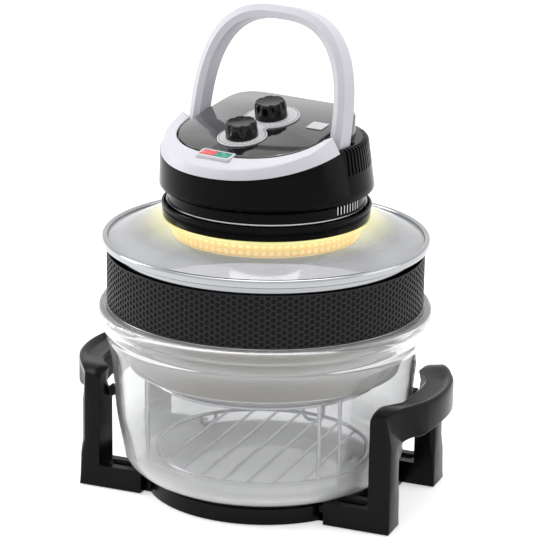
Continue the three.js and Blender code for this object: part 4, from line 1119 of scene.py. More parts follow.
@dataclass
class Stand:
    """The black stand: a ring under the bowl, and a side handle with two posts on each side."""

    ring_radius: float = 118.2
    ring_inner: float = 88.0
    ring_top: float = 17.5
    ring_wall: float = 3.0
    bead_radius: float = 113.0
    bead_top: float = 21.7
    ear_x: float = 133.0
    ear_y: float = 75.5
    ear_top: float = 10.0
    web_y: float = 60.6
    floor_gap: float = 1.0
    arm_x: float = 98.0
    arm_top: float = 24.0
    arm_groove: float = 3.0
    post_inner_x: float = 144.0
    post_outer_x: float = 166.0
    leg_inner_y: float = 53.0
    leg_outer_y: float = 84.5
    post_corner: float = 11.0
    grip_end_low: float = 92.6
    grip_middle_low: float = 98.0
    grip_top: float = 127.3
    grip_inner_top: float = 121.0
    grip_arc_centre: float = 73.5
    grip_arc: float = 120.9
    grip_inner_middle: float = 162.0
    grip_inner_arc: float = 255.0
    bend_radius: float = 7.0
    bend_sweep: float = 24.0
    rib_count: int = 11
    rib_step: float = 9.0
    rib_width: float = 1.2
    rib_height: float = 1.4

    def build(self) -> None:
        """Make the stand's pieces and dress its small parts."""
        self.ring()
        right = self.side_handle()
        self.dress_handle("side_handle_right_moulding", right, "side_handle_right")
        self.dress_handle("side_handle_left_moulding", right.mirrored(-1, 1), "side_handle_left")
        self.small_parts()

    def ring(self) -> None:
        """Make the ring with its bead, its ears and the ribs on them."""
        r, bead, wall = self.ring_radius, self.bead_radius, self.ring_wall
        low, top, hollow = self.floor_gap, self.ring_top, self.ring_inner + wall
        shell = turned(rounded([
            (r, low, 0.5), (r, top, 2.6), (bead + 3.0, top, 1.0), (bead + 2.0, self.bead_top, 1.3),
            (bead - 2.0, self.bead_top, 1.3), (bead - 3.0, top, 1.0), (self.ring_inner, top, 2.0),
            (self.ring_inner, low, 0.5), (hollow, low, 0.5), (hollow, top - wall, 1.0),
            (r - wall, top - wall, 1.0), (r - wall, low, 0.5),
        ]))
        inside = r - wall + 0.4
        ear_end, edge = math.asin(self.ear_y / inside), self.arm_x - CLEARANCE
        ear = [(self.ear_x, -self.ear_y), (self.ear_x, self.ear_y), *arc(inside, ear_end, -ear_end, 24)]
        web = [(edge, self.ear_y), (edge, self.web_y), *arc(inside, math.atan2(self.web_y, edge), ear_end, 6)]
        whole = Form()
        for sign in (1, -1):
            whole.add(prism(ear, low, self.ear_top).mirrored(sign, 1))
            for side in (1, -1):
                whole.add(prism(web[::-1], low, top).mirrored(sign, side))
        ring = raw_piece("base_ring_moulding", whole.add(shell))
        first, half = -self.rib_step * (self.rib_count - 1) / 2, self.rib_width / 2
        rib = block((r - 1.0, first - half, self.ear_top - 0.5),
                    (self.ear_x - 1.0, first + half, self.ear_top + self.rib_height))
        ribs = [LINE_TREE.repeat("ear_ribs", rib.mirrored(sign, 1), STAND_BLACK, Count=self.rib_count,
                                 Step=(0.0, self.rib_step * MM, 0.0)) for sign in (1, -1)]
        merge_into(ring, *ribs)
        finish_piece(ring, Dress(STAND_BLACK, "stand", ("base_ring",), bevel_mm=0.5))

    def grip_outer(self, y: float) -> float:
        """Return how far out the grip's outer face lies at a place along Y."""
        return self.grip_arc_centre + math.sqrt(self.grip_arc**2 - y**2)

    def grip_inner(self, y: float) -> float:
        """Return where the grip's inner face lies at a place along Y."""
        bow = self.grip_inner_middle - self.grip_inner_arc + math.sqrt(self.grip_inner_arc**2 - y**2)
        return self.post_inner_x + (bow - self.post_inner_x) * (1 - smoothstep(abs(y), 44.0, 53.0))

    def side_handle(self) -> Form:
        """Loft the +X side handle: arm, post, grip, post and arm in one run.

        Returns:
            The closed moulding.
        """
        half: list[Ring] = []
        inner, outer = -self.leg_inner_y, -self.leg_outer_y
        for x, groove in ((self.arm_x, 0.0), (self.arm_x + 2.0, 0.0), (self.arm_x + 5.5, self.arm_groove),
                          (self.post_inner_x - 9.0, self.arm_groove), (self.post_inner_x - 5.0, 0.0)):
            half.append(self.arm_ring(x, x, groove, inner, outer))
        half.append(self.arm_ring(self.post_inner_x, self.post_outer_x, 0.0, inner, outer))
        for z_in, z_out in ((34.0, 34.0), (50.0, 50.0), (66.0, 66.0), (80.0, 80.0), (84.0, 92.0)):
            half.append(self.post_ring(z_in, z_out, inner, outer))
        for share in (0.0, 0.25, 0.5, 0.75, 1.0):
            turn = share * math.pi / 2
            y_low = inner + self.bend_radius * (1 - math.cos(turn)) + 0.5
            z_low = self.grip_end_low - self.bend_radius * (1 - math.sin(turn))
            y_top = outer + 0.6 + self.bend_sweep * share
            drop = 5.0 * (1 - math.sin(turn)) ** 2
            half.append([(x, y, z - drop * smoothstep(z, 96.0, 126.0))
                         for x, y, z in self.grip_ring(y_low, y_top, z_low, 0.1 + 0.8 * share)])
        for y in (-42.0, -36.0, -28.0, -19.0, -9.5):
            half.append(self.grip_ring(y, y, None))
        middle = [self.grip_ring(0.0, 0.0, None)]
        mirrored = [[(x, -y, z) for x, y, z in ring] for ring in reversed(half)]
        return loft([*half, *middle, *mirrored])

    def arm_ring(self, x_top: float, x_low: float, groove: float, inner: float, outer: float) -> Ring:
        """Return one section of the arm, or its mitre with the post.

        Args:
            x_top: Where the section's top lies along X.
            x_low: Where its bottom lies along X.
            groove: Depth of the lengthwise groove there.
            inner: Y of the side that faces the other arm.
            outer: Y of the outer side.

        Returns:
            Eighteen points round the section.
        """
        top, low = self.arm_top, self.floor_gap
        span = outer - inner
        marks = [(0.29, 0.0), (0.33, groove), (0.67, groove), (0.71, 0.0)]
        ring = [(x_top, inner, top)]
        ring += [(x_top, inner + span * t, top - d) for t, d in marks]
        ring.append((x_top, outer, top))
        for t in (0.12, 0.35, 0.62, 0.85):
            ring.append((x_top + (x_low - x_top) * t, outer, top + (low - top) * t))
        for t in (0.0, 0.02, 0.05, 0.09):
            ring.append((x_low, outer - span * t, low))
        for t in (0.91, 0.95, 0.98, 1.0):
            ring.append((x_low, outer - span * t, low))
        return ring

    def post_ring(self, z_in: float, z_out: float, inner: float, outer: float) -> Ring:
        """Return one section of the post.

        Args:
            z_in: Height of the section at the opening's side.
            z_out: Height of the section at the outer side.
            inner: Y of the opening's side.
            outer: Y of the outer side.

        Returns:
            Eighteen points round the section.
        """
        xi, xo, span = self.post_inner_x, self.post_outer_x, outer - inner
        blend = smoothstep(z_in, 24.0, 50.0)
        corner = self.post_corner * blend + 1.5 * (1 - blend)

        def height(t: float) -> float:
            """Return the section's height at a share of its way out."""
            return z_in + (z_out - z_in) * t

        ring = [(xi, inner, height(0.0))]
        ring += [(xi, inner + span * t, height(t)) for t in (0.29, 0.33, 0.67, 0.71)]
        ring.append((xi, outer, height(1.0)))
        for t in (0.12, 0.3, 0.4, 0.48):
            ring.append((xi + (xo - xi) * t, outer, height(1.0)))
        for step in range(4):
            angle = math.pi / 2 * step / 3
            y = outer + corner * (1 - math.sin(math.pi / 2 - angle))
            ring.append((xo - corner * (1 - math.sin(angle)), y, height(1.0 - (y - outer) / -span)))
        small = corner * 0.55
        for step in range(4):
            angle = math.pi / 2 * step / 3
            y = inner - small * (1 - math.sin(angle))
            ring.append((xo - small * (1 - math.cos(angle)), y, height((y - inner) / span)))
        return ring

    def grip_ring(self, y_low: float, y_top: float, z_low: float | None, flare: float = 1.0) -> Ring:
        """Return one section of the grip, or of its bend into the post.

        Args:
            y_low: Where the underside's section lies along Y.
            y_top: Where the top's section lies along Y.
            z_low: Height of the underside, or None for the grip's own arch.
            flare: How far the lower edge has left the post for the grip's outer face, 0 to 1.

        Returns:
            Eighteen points round the section.
        """
        if z_low is None:
            rise = 1 - (y_low / 46.0) ** 2
            z_low = self.grip_end_low + (self.grip_middle_low - self.grip_end_low) * max(0.0, rise)
        xi_low, xi_top = self.grip_inner(y_low), self.grip_inner(y_top)
        xo_top, xo_low = self.grip_outer(y_top), self.grip_outer(y_low)
        xo_low = self.post_outer_x + (xo_low - self.post_outer_x) * flare
        side, top, inside = xi_top, self.grip_top, self.grip_inner_top

        def between(t: float) -> Pair:
            """Return a place on the inner face at a share of its way up."""
            return xi_low + (side - xi_low) * t, y_low + (y_top - y_low) * t

        ring = [(xi_low, y_low, z_low)]
        for t in (0.29, 0.33, 0.67, 0.71):
            x, y = between(t)
            ring.append((x, y, z_low + (inside - z_low) * t))
        ring.append((side, y_top, inside))
        wide = xo_top - side
        filled = smoothstep(abs(y_top), 48.0, 66.0)
        dish = ((0.10, inside + 2.6, 0.0), (0.28, inside + 1.6, 2.4), (0.66, inside + 2.4, 2.9),
                (0.80, top - 0.6, 0.1))
        for t, z, fill in dish:
            ring.append((side + wide * t, y_top, z + fill * filled))
        for t, z in ((0.88, top), (0.965, top - 0.9), (0.995, top - 3.4), (1.0, top - 6.5)):
            y = y_top + (y_low - y_top) * max(0.0, (top - z)) / (top - z_low)
            ring.append((side + wide * t, y, z))
        for inward, up in ((0.0, 3.6), (-0.4, 1.4), (-1.6, 0.3), (-3.4, 0.0)):
            share = up / (top - z_low)
            x, y = xo_low + (xo_top - xo_low) * share + inward, y_low + (y_top - y_low) * share
            ring.append((x, y, z_low + up))
        return ring

    def dress_handle(self, name: str, form: Form, node: str) -> None:
        """Dress a side handle's moulding, with softened edges, in the place of its CAD node."""
        dress = Dress(STAND_BLACK, "stand", (node,), bevel_mm=1.6, bevel_steps=3, sharp_deg=50.0)
        add_piece(name, form, dress)

    def small_parts(self) -> None:
        """Dress the rubber pads, the feet and the screws."""
        for name in ("front_right", "front_left", "rear_right", "rear_left"):
            dress_node(f"bowl_pad_{name}", RUBBER_BLACK)
            dress_node(f"foot_pad_{name}", RUBBER_BLACK)
            dress_node(f"stand_screw_{name}", STEEL_WIRE)


# Bowl, racks and tray


@dataclass
class CookingSpace:
    """The glass bowl, with the two racks and the tray in it."""

    bottom: float = 22.0
    wall: float = 5.0
    flat_radius: float = 60.0
    corner_radius: float = 26.0
    corner_centre: float = 117.0
    wall_foot: float = 45.0
    wall_foot_radius: float = 142.747
    wall_rise: float = 115.0
    wall_spread: float = 15.8
    rim_height: float = 34.5
    rim_flare: float = 7.7
    rack_radius: float = 107.0
    rack_z: float = 40.0
    rack_pitch: float = 24.0
    rack_wires: int = 7
    rack_legs: tuple[float, ...] = (25.0, 145.0, 265.0)
    wire_radius: float = 2.0
    thin_wire_radius: float = 1.5
    high_radius: float = 117.0
    high_z: float = 122.7
    high_legs: tuple[float, ...] = (-35.0, -155.0, 85.0)
    foot_z: float = 29.3
    tray_bottom: float = 125.0
    tray_floor: float = 119.0
    tray_rim: float = 137.0
    tray_height: float = 11.0
    tray_sheet: float = 1.2

    def build(self) -> None:
        """Make the bowl, both racks and the tray."""
        self.bowl()
        self.low_rack()
        self.high_rack()
        self.tray()

    def bowl(self) -> None:
        """Turn the bowl from a smooth profile, with its thick double rim."""
        wall_shares = [(0.0, 0.0), (0.3, 0.38), (0.54, 0.52), (0.74, 0.645), (0.87, 0.79), (1.0, 1.0)]
        outer = [(self.wall_foot_radius + s * self.wall_spread, self.wall_foot + r * self.wall_rise)
                 for r, s in wall_shares]
        mouth = self.wall_foot_radius + self.wall_spread
        inner = smooth_line([(r - self.wall, z) for r, z in outer], 5)
        rim_foot = self.wall_foot + self.wall_rise
        rim_shares = [(0.0, 0.0), (0.14, 0.13), (0.23, 0.29), (0.36, 0.60), (0.52, 0.78), (0.62, 0.80),
                      (0.70, 0.93), (0.81, 1.0), (0.90, 0.97), (0.957, 0.82), (0.99, 0.62), (1.0, 0.45)]
        rim = [(mouth + flare * self.rim_flare, rim_foot + rise * self.rim_height)
               for rise, flare in rim_shares]
        centre = (self.corner_centre, self.bottom + self.corner_radius)
        start, end = math.radians(-90.0), math.radians(-8.0)
        corner = arc(self.corner_radius, start, end, 14, centre)
        inner_corner = arc(self.corner_radius - self.wall, start, end, 14, centre)
        top = self.wall_foot + self.wall_rise + self.rim_height
        low, floor, inside = self.bottom, self.bottom + self.wall, mouth - self.wall
        profile = [(0.0, low), (self.flat_radius, low), *corner[:-1], *smooth_line(outer, 5)[:-1],
                   *smooth_line(rim, 4), (inside + 1.2, top), (inside, top - 1.4), *reversed(inner),
                   *reversed(inner_corner[:-1]), (self.flat_radius, floor), (0.0, floor)]
        dress = Dress(BOWL_GLASS, "bowl", ("glass_bowl",), 60.0)
        add_piece("glass_bowl_moulding", turned(profile, FINE_SIDES), dress)

    def hoop(self, radius: float, z: float) -> Path:
        """Return the closed path of a round hoop."""
        return level_ring(radius, z, 96), True

    def leg(self, radius: float, width: float, top: float, bend: float, turn: float) -> Path:
        """Return the path of a U-shaped leg under a hoop.

        Args:
            radius: How far out the leg stands.
            width: Distance between its two uprights.
            top: Height where it meets the hoop.
            bend: Radius of its two bends.
            turn: Its place round the axis, in degrees.

        Returns:
            The path's points and False, as it stays open.
        """
        half, low = width / 2, self.foot_z + bend
        left = arc(bend, math.pi, 1.5 * math.pi, 6, (-half + bend, low))
        right = arc(bend, 1.5 * math.pi, ROUND, 6, (half - bend, low))
        place = turn_z(math.radians(turn))
        path = [(-half, top), *left, *right, (half, top)]
        return [tuple(place @ Vector((radius, y, z))) for y, z in path], False

    def low_rack(self) -> None:
        """Make the low rack: a hoop, parallel wires and three feet."""
        feet = [self.leg(self.rack_radius, 18.0, self.rack_z, 5.3, d) for d in self.rack_legs]
        frame = SweepTree().sweep("low_rack_wires", [self.hoop(self.rack_radius, self.rack_z), *feet],
                                  self.wire_radius, STEEL_WIRE)
        wires = []
        for at in range(self.rack_wires):
            x = (at - (self.rack_wires - 1) / 2) * self.rack_pitch
            reach = math.sqrt(self.rack_radius**2 - x**2)
            wires.append(([(x, -reach, self.rack_z), (x, reach, self.rack_z)], False))
        grill = SweepTree().sweep("low_rack_grill", wires, self.thin_wire_radius, STEEL_WIRE, 10)
        merge_into(frame, grill)
        finish_piece(frame, Dress(STEEL_WIRE, "low_rack", ("wire_rack",), 60.0))

    def high_rack(self) -> None:
        """Make the high rack: a hoop on three long legs."""
        legs = [self.leg(self.high_radius, 24.0, self.high_z, 8.0, d) for d in self.high_legs]
        wires = SweepTree().sweep("high_rack_wires", [self.hoop(self.high_radius, self.high_z), *legs],
                                  self.wire_radius, STEEL_WIRE)
        finish_piece(wires, Dress(STEEL_WIRE, "tall_rack", ("high_rack",), 60.0))

    def tray(self) -> None:
        """Turn the shallow tray with its rolled lip."""
        low, top, sheet = self.tray_bottom, self.tray_bottom + self.tray_height, self.tray_sheet
        wall = self.tray_rim - 4.0
        profile = rounded([
            (0.0, low, 0.0), (self.tray_floor, low, 4.0), (wall, top - sheet, 1.2),
            (self.tray_rim, top - sheet, 0.4), (self.tray_rim, top, 0.4), (wall - sheet, top, 1.0),
            (self.tray_floor - sheet, low + sheet, 4.0), (0.0, low + sheet, 0.0),
        ])
        dress = Dress(TRAY_STEEL, "tray", ("cooking_tray",), 60.0)
        add_piece("cooking_tray_pressing", turned(profile), dress)


# Extender ring


@dataclass
class Extender:
    """The steel extender hoop with its shelf and the black honeycomb band round it."""

    radius: float = 152.5
    sheet: float = 1.5
    bottom: float = 187.0
    top: float = 256.0
    shelf_bottom: float = 194.8
    shelf_radius: float = 158.5
    band_radius: float = 158.0
    band_sheet: float = 1.5
    band_bottom: float = 196.1
    band_top: float = 248.4
    band_edge: float = 0.9
    columns: int = 188
    cell_rise: float = 6.1
    cell_rows: int = 10
    web_share: float = 0.80
    floor_share: float = 0.62
    cell_depth: float = 0.85

    def build(self) -> None:
        """Make the hoop and the band."""
        self.hoop()
        self.band()

    def hoop(self) -> None:
        """Turn the steel hoop with its shelf."""
        inner = self.radius - self.sheet
        profile = rounded([
            (inner, self.bottom, 0.5), (self.radius, self.bottom, 0.5), (self.radius, self.shelf_bottom, 0.8),
            (self.shelf_radius, self.shelf_bottom, 0.4), (self.shelf_radius, self.shelf_bottom + 1.0, 0.4),
            (self.radius, self.shelf_bottom + 1.0, 0.8), (self.radius, self.top, 0.7), (inner, self.top, 0.7),
        ])
        dress = Dress(STEEL_ROLLED, "extender", ("extender_hoop",))
        add_piece("extender_hoop_rolled", turned(profile, FINE_SIDES), dress)

    def band(self) -> None:
        """Make the band: a plain backing, rolled edges and a skin of dimpled cells."""
        outer, edge, low, top = self.band_radius, self.band_edge, self.band_bottom, self.band_top
        inner, floor = outer - self.band_sheet, outer - 0.9
        backing = turned(rounded([
            (inner, low, 0.3), (outer, low, 0.3), (outer, low + edge, 0.1), (floor, low + edge, 0.0),
            (floor, top - edge, 0.0), (outer, top - edge, 0.1), (outer, top, 0.3), (inner, top, 0.3),
        ], 2), self.columns)
        skin = ROUND_TREE.repeat(
            "honeycomb_skin", self.cell(), BAND_BLACK, Columns=self.columns, Rows=self.cell_rows,
            Column_Angle=ROUND / self.columns, Row_Rise=self.cell_rise * MM, Stagger=0.5)
        self.trim_skin(skin, low + 0.5 * edge, top - 0.5 * edge)
        band = merge_into(raw_piece("extender_band_honeycomb", backing), skin)
        finish_piece(band, Dress(BAND_BLACK, "extender", ("extender_band",), 24.0))

    def cell(self) -> Form:
        """Return one honeycomb cell on the band: a raised edge, a sloping side and a dished floor.

        Returns:
            The cell, centred on +X at the height of the lowest row.
        """
        step = ROUND / self.columns
        high = self.cell_rise / 2
        corners = [(2 / 3, 0.0), (1 / 3, 1.0), (-1 / 3, 1.0), (-2 / 3, 0.0), (-1 / 3, -1.0), (1 / 3, -1.0)]
        base_z = self.band_bottom - self.cell_rise * 0.3

        def ring(share: float, sink: float) -> Ring:
            """Return the cell's outline.

            Args:
                share: Its size as a share of the cell's.
                sink: How far under the band's outside it lies.

            Returns:
                Six points.
            """
            reach = self.band_radius - sink
            spots = [(a * share * step, base_z + h * share * high) for a, h in corners]
            return [(reach * math.cos(angle), reach * math.sin(angle), z) for angle, z in spots]

        points = [*ring(1.0, 0.0), *ring(self.web_share, 0.0), *ring(self.floor_share, self.cell_depth)]
        points.append((self.band_radius - self.cell_depth - 0.08, 0.0, base_z))
        faces: list[tuple[int, ...]] = []
        for level in (0, 6):
            for at in range(6):
                after = (at + 1) % 6
                faces.append((level + at, level + after, level + 6 + after, level + 6 + at))
        faces += [(12 + at, 12 + (at + 1) % 6, 18) for at in range(6)]
        return Form(points, faces)

    @staticmethod
    def trim_skin(skin: bpy.types.Object, low: float, high: float) -> None:
        """Cut the skin off level below and above, and turn its faces outward.

        Args:
            skin: The object with the cells.
            low: Height of the lower cut.
            high: Height of the upper cut.
        """
        work = bmesh.new()
        work.from_mesh(skin.data)
        bmesh.ops.remove_doubles(work, verts=work.verts, dist=0.01 * MM)
        for height, up in ((low, -1.0), (high, 1.0)):
            geometry = [*work.verts, *work.edges, *work.faces]
            bmesh.ops.bisect_plane(work, geom=geometry, plane_co=(0, 0, height * MM), plane_no=(0, 0, up),
                                   clear_outer=True)
        for face in work.faces:
            centre = face.calc_center_median()
            if face.normal.x * centre.x + face.normal.y * centre.y < 0:
                face.normal_flip()
        work.to_mesh(skin.data)
        work.free()


# Lid


@dataclass
class Lid:
    """The glass lid: a rolled steel rim, a shallow dome with a hole, and the black collar."""

    rim_radius: float = 162.5
    rim_bottom: float = 256.3
    rim_height: float = 8.2
    rim_width: float = 5.4
    ledge_width: float = 12.0
    glass_edge: float = 156.8
    glass_bottom: float = 257.6
    glass: float = 4.0
    glass_rise: float = 22.4
    seat_radius: float = 103.0
    hole_radius: float = 95.0
    collar_foot_z: float = 284.3
    collar_foot: float = 102.5
    collar_top: float = 104.0
    collar_height: float = 14.1
    collar_wall: float = 2.5
    floor_bottom: float = 285.6
    floor_top: float = 288.1
    shaft_hole: float = 12.0

    def build(self) -> None:
        """Make the rim, the glass and the collar, and dress the seal."""
        self.rim()
        self.dome()
        self.collar()
        dress_node("glass_gasket", RUBBER_BLACK)

    def rim(self) -> None:
        """Turn the rolled rim with the ledge that the glass lies on."""
        r, low, top = self.rim_radius, self.rim_bottom, self.rim_bottom + self.rim_height
        inner = r - self.rim_width
        profile = rounded([
            (r - self.ledge_width, low, 0.3), (r, low, 2.4), (r, top, 2.6), (inner, top, 2.4),
            (inner, low + 1.0, 0.3), (r - self.ledge_width, low + 1.0, 0.3),
        ], 6)
        dress = Dress(STEEL_ROLLED, "lid", ("lid_rim",), 40.0)
        add_piece("lid_rim_rolled", turned(profile, FINE_SIDES), dress)

    def dome(self) -> None:
        """Turn the lid's glass: a shallow dome up to a flat seat round its hole."""
        base, low, run = self.glass_bottom + self.glass, self.glass_bottom, self.glass_edge - self.seat_radius
        seat = base + self.glass_rise
        top = []
        for t in (0.0, 0.1, 0.25, 0.4, 0.55, 0.7, 0.85):
            rise = 0.985 * t + 0.06 * math.sin(math.pi * t) * t
            top.append((self.glass_edge - run * t, base + self.glass_rise * rise))
        outer = smooth_line([*top, (self.seat_radius, seat)], 4)
        under = [(r, z - self.glass) for r, z in reversed(outer)]
        profile = [*outer, (self.hole_radius + 0.6, seat), (self.hole_radius, seat - 0.8),
                   (self.hole_radius, low + self.glass_rise), *under, (self.glass_edge, low + 0.8),
                   (self.glass_edge, base - 0.6)]
        dress = Dress(LID_GLASS, "lid", ("lid_glass",), 50.0)
        add_piece("lid_glass_dome", turned(profile, FINE_SIDES), dress)

    def collar(self) -> None:
        """Turn the collar with the floor that carries the motor."""
        foot, top = self.collar_foot_z, self.collar_foot_z + self.collar_height
        inner = self.collar_top - self.collar_wall
        profile = rounded([
            (self.collar_foot, foot, 1.2), (self.collar_top, top, 1.2), (inner, top, 0.8),
            (inner, self.floor_top, 0.5), (self.shaft_hole, self.floor_top, 0.3),
            (self.shaft_hole, self.floor_bottom, 0.3), (self.collar_foot - 1.25, self.floor_bottom, 0.2),
            (self.collar_foot - 1.25, foot, 0.2),
        ])
        add_piece("collar_turned", turned(profile, FINE_SIDES), Dress(HEAD_BLACK, "lid", ("collar",), 40.0))


# Head


@dataclass(frozen=True)
class EdgeCurve:
    """The front part of a superellipse that rises toward the rear."""

    half_x: float
    half_y: float
    centre: float
    power: float
    z: float
    slope: float

    def shifted(self, inward: float, down: float) -> "EdgeCurve":
        """Return the curve drawn in and lowered."""
        return replace(self, half_x=self.half_x - inward, half_y=self.half_y - inward, z=self.z - down)

    def point(self, share: float) -> Point:
        """Return a point on the curve.

        Args:
            share: Its place from the +X end to the -X end.

        Returns:
            The point.
        """
        sine = (self.centre - TRIM_END_Y + CLEARANCE) / self.half_y
        start = math.asin(sine ** (self.power / 2))
        angle = start + (math.pi - 2 * start) * share
        x = self.half_x * signed_power(math.cos(angle), 2 / self.power)
        y = self.centre - self.half_y * math.sin(angle) ** (2 / self.power)
        return (x, y, self.z + self.slope * y)


@dataclass
class Head:
    """The heater head's shells: housing, pod cover and front trim."""

    neck_radius: float = 98.0
    spigot_foot: float = 288.4
    neck_foot: float = 301.0
    shoulder_z: float = 316.0
    shoulder_radius: float = 106.2
    ledge_half_width: float = 98.0
    ledge_half_length: float = 103.0
    ledge_centre: float = -5.0
    ledge_power: float = 2.15
    wall: float = 3.0
    ledge_sheet: float = 2.5
    ledge_round: float = 4.0
    trim_z: float = 368.3
    trim_slope: float = 0.228
    crease_half_width: float = 93.0
    crease_front: float = -104.5
    crease_z: float = 383.4
    crease_slope: float = 0.29
    trim_skin: float = 3.0
    pod_centre: float = -12.0
    pod_length: float = 75.0
    pod_front: float = 78.5
    pod_rear: float = 75.6
    pod_power: float = 2.4
    pod_rear_length: float = 73.0
    pod_rear_power: float = 6.0
    pod_wall: float = 2.5
    pod_bottom: float = 350.0
    side_vents: int = 16
    side_vent_first: float = -5.5
    side_vent_step: float = 3.45
    side_vent_width: float = 2.8
    side_vent_low: float = 340.0
    side_vent_inner: float = 93.4
    neck_vents: int = 7
    neck_vent_first: float = -10.9
    neck_vent_step: float = 2.7
    neck_vent_width: float = 2.6
    neck_vent_height: float = 10.0
    panel_room: float = 2.7
    roof_inset: float = 40.0
    spindle_hole: float = 3.7
    pin_hole: float = 3.4
    pocket_half_length: float = 19.6
    pocket_inner: float = 72.0
    pocket_floor_inner: float = 76.4
    pocket_low: float = 348.0
    pocket_outer: float = 90.6
    pocket_wall: float = 2.0
    sides: int = 180
    rib_radius: float = 1.4
    rib_low: float = 366.0
    rib_high: float = 380.0
    rib_count: int = 36
    rib_from: float = 0.955
    trim_steps: int = 96
    crease_from: float = -56.0
    crease_in: float = 0.045
    crease_up: float = 1.2

    def build(self) -> None:
        """Make the shells and dress the gland."""
        self.housing()
        self.pod()
        self.trim()
        for name, low, high, finish in (("neck_liner", (93.0, 302.0), (94.0, 314.6), ALUMINIUM),
                                        ("neck_foot_line", (98.1, 299.2), (99.2, 300.5), STEEL_WIRE)):
            add_piece(name, turned(rectangle(low, high)), Dress(finish, "lid"))
        self.neck_bars()
        dress_node("cord_gland", RUBBER_BLACK)

    def pod_half_width(self, y: float) -> float:
        """Return the pod's half width at a place along Y, narrower beside the handle's legs."""
        return self.pod_front + (self.pod_rear - self.pod_front) * smoothstep(y, -30.0, -20.0)

    def pod_plan(self, grow: float, sides: int = 120) -> Plan:
        """Return the pod's plan, grown or, with a negative value, drawn in.

        Args:
            grow: How far the outline moves outward.
            sides: Number of points.

        Returns:
            Plan points, going anticlockwise.
        """
        front = superellipse(1.0, self.pod_length + grow, self.pod_power, self.pod_centre, sides)
        rear = superellipse(1.0, self.pod_rear_length + grow, self.pod_rear_power, self.pod_centre, sides)
        plan = [r if r[1] > self.pod_centre else f for f, r in zip(front, rear)]
        return [(x * (self.pod_half_width(y) + grow), y) for x, y in plan]

    def rim_height(self, y: float) -> float:
        """Return the height of the housing's top edge at a place along Y."""
        front = self.trim_z - CLEARANCE + self.trim_slope * y
        return front + (LEDGE_Z - front) * smoothstep(y, TRIM_END_Y - 1.0, TRIM_END_Y + 1.0)

    def skin_point(self, at: int, height: float, inset: float) -> Point:
        """Return a point on the housing's upper skin.

        Args:
            at: Which point of the ring.
            height: The point's height.
            inset: How far inside the skin it lies.

        Returns:
            The point.
        """
        share = max(0.0, (height - self.shoulder_z) / (LEDGE_Z - self.shoulder_z))
        half_x = self.shoulder_radius + (self.ledge_half_width - self.shoulder_radius) * share - inset
        half_y = self.shoulder_radius + (self.ledge_half_length - self.shoulder_radius) * share - inset
        power = 2 + (self.ledge_power - 2) * share
        angle = ROUND * at / self.sides
        return (half_x * signed_power(math.cos(angle), 2 / power),
                self.ledge_centre * share + half_y * signed_power(math.sin(angle), 2 / power), height)

    def housing(self) -> None:
        """Loft the housing and cut its vents and the pockets for the handle's feet."""
        count, r, foot = range(self.sides), self.neck_radius, self.neck_foot
        neck = [(self.spigot_foot, r), (foot - 0.6, r), (foot + 0.4, r + 0.1), (306.0, r + 0.3),
                (310.0, r + 0.5), (310.9, r + 0.8), (311.7, 99.6), (312.5, 101.2), (313.4, 103.2),
                (314.4, 104.7), (315.4, 105.6)]
        rings = [level_ring(radius, z, self.sides) for z, radius in neck]
        tops = [self.rim_height(self.skin_point(at, LEDGE_Z, 0.0)[1]) for at in count]
        edge = [self.ledge_round if top > LEDGE_Z - 0.8 else 0.8 for top in tops]
        low = self.shoulder_z + 1.0
        for share in (0.0, 0.1, 0.25, 0.45, 0.65, 0.85, 1.0):
            heights = [low + (tops[at] - edge[at] - low) * share for at in count]
            rings.append([self.skin_point(at, heights[at], 0.0) for at in count])
        for angle in (22.5, 45.0, 67.5, 90.0):
            up, out = 1 - math.sin(math.radians(angle)), 1 - math.cos(math.radians(angle))
            rings.append([self.skin_point(at, tops[at] - edge[at] * up, edge[at] * out) for at in count])
        rings += [self.lip(tops, drop) for drop in (0.0, self.ledge_sheet)]
        for share in (1.0, 0.6, 0.2, 0.0):
            heights = [low + (top - self.ledge_sheet - 0.4 - low) * share for top in tops]
            rings.append([self.skin_point(at, heights[at], self.wall) for at in count])
        rings += [level_ring(radius - self.wall, z, self.sides) for z, radius in reversed(neck)]
        made = raw_piece("head_housing_moulding", loft(rings, looped=True))
        self.cut_vents(made)
        y, inner, outer = self.pocket_half_length, self.pocket_inner, self.pocket_outer
        pocket = prism(rounded([(inner, -y, 0.0), (outer, -y, 4.0), (outer, y, 4.0), (inner, y, 0.0)]),
                       self.pocket_low, LEDGE_Z + 6.0)
        for sign in (1, -1):
            carve(made, pocket.mirrored(sign, 1))
            merge_into(made, raw_piece("pocket_walls", self.pocket_walls().mirrored(sign, 1)))
        made.data.transform(head_frame())
        finish_piece(made, Dress(HEAD_BLACK, "lid", ("head_housing",), 28.0))

    def lip(self, tops: list[float], drop: float) -> Ring:
        """Return the ring where the ledge ends: along the trim in front, round the pod behind.

        Args:
            tops: Heights of the housing's top edge.
            drop: How far below them the ring lies.

        Returns:
            The ring's points.
        """
        ring = []
        for at, (x, y) in enumerate(self.pod_plan(0.4, self.sides)):
            rear = smoothstep(y, TRIM_END_Y - 3.0, TRIM_END_Y + 1.0)
            inner = self.skin_point(at, tops[at], self.wall)
            ring.append((inner[0] + (x - inner[0]) * rear, inner[1] + (y - inner[1]) * rear, tops[at] - drop))
        return ring

    def pocket_walls(self) -> Form:
        """Return the thin walls round the +X pocket, under the ledge.

        Returns:
            A floor, two ends and the outer wall.
        """
        inner, outer = self.pocket_floor_inner, self.pocket_outer
        wall, y = self.pocket_wall, self.pocket_half_length
        low, top = self.pocket_low, LEDGE_Z - 2.0
        walls = block((inner, -y - wall, low - wall), (outer + wall, y + wall, low))
        walls.add(block((inner, -y - wall, low), (outer + wall, -y, top)))
        walls.add(block((inner, y, low), (outer + wall, y + wall, top)))
        return walls.add(block((outer, -y, low), (outer + wall, y, top)))

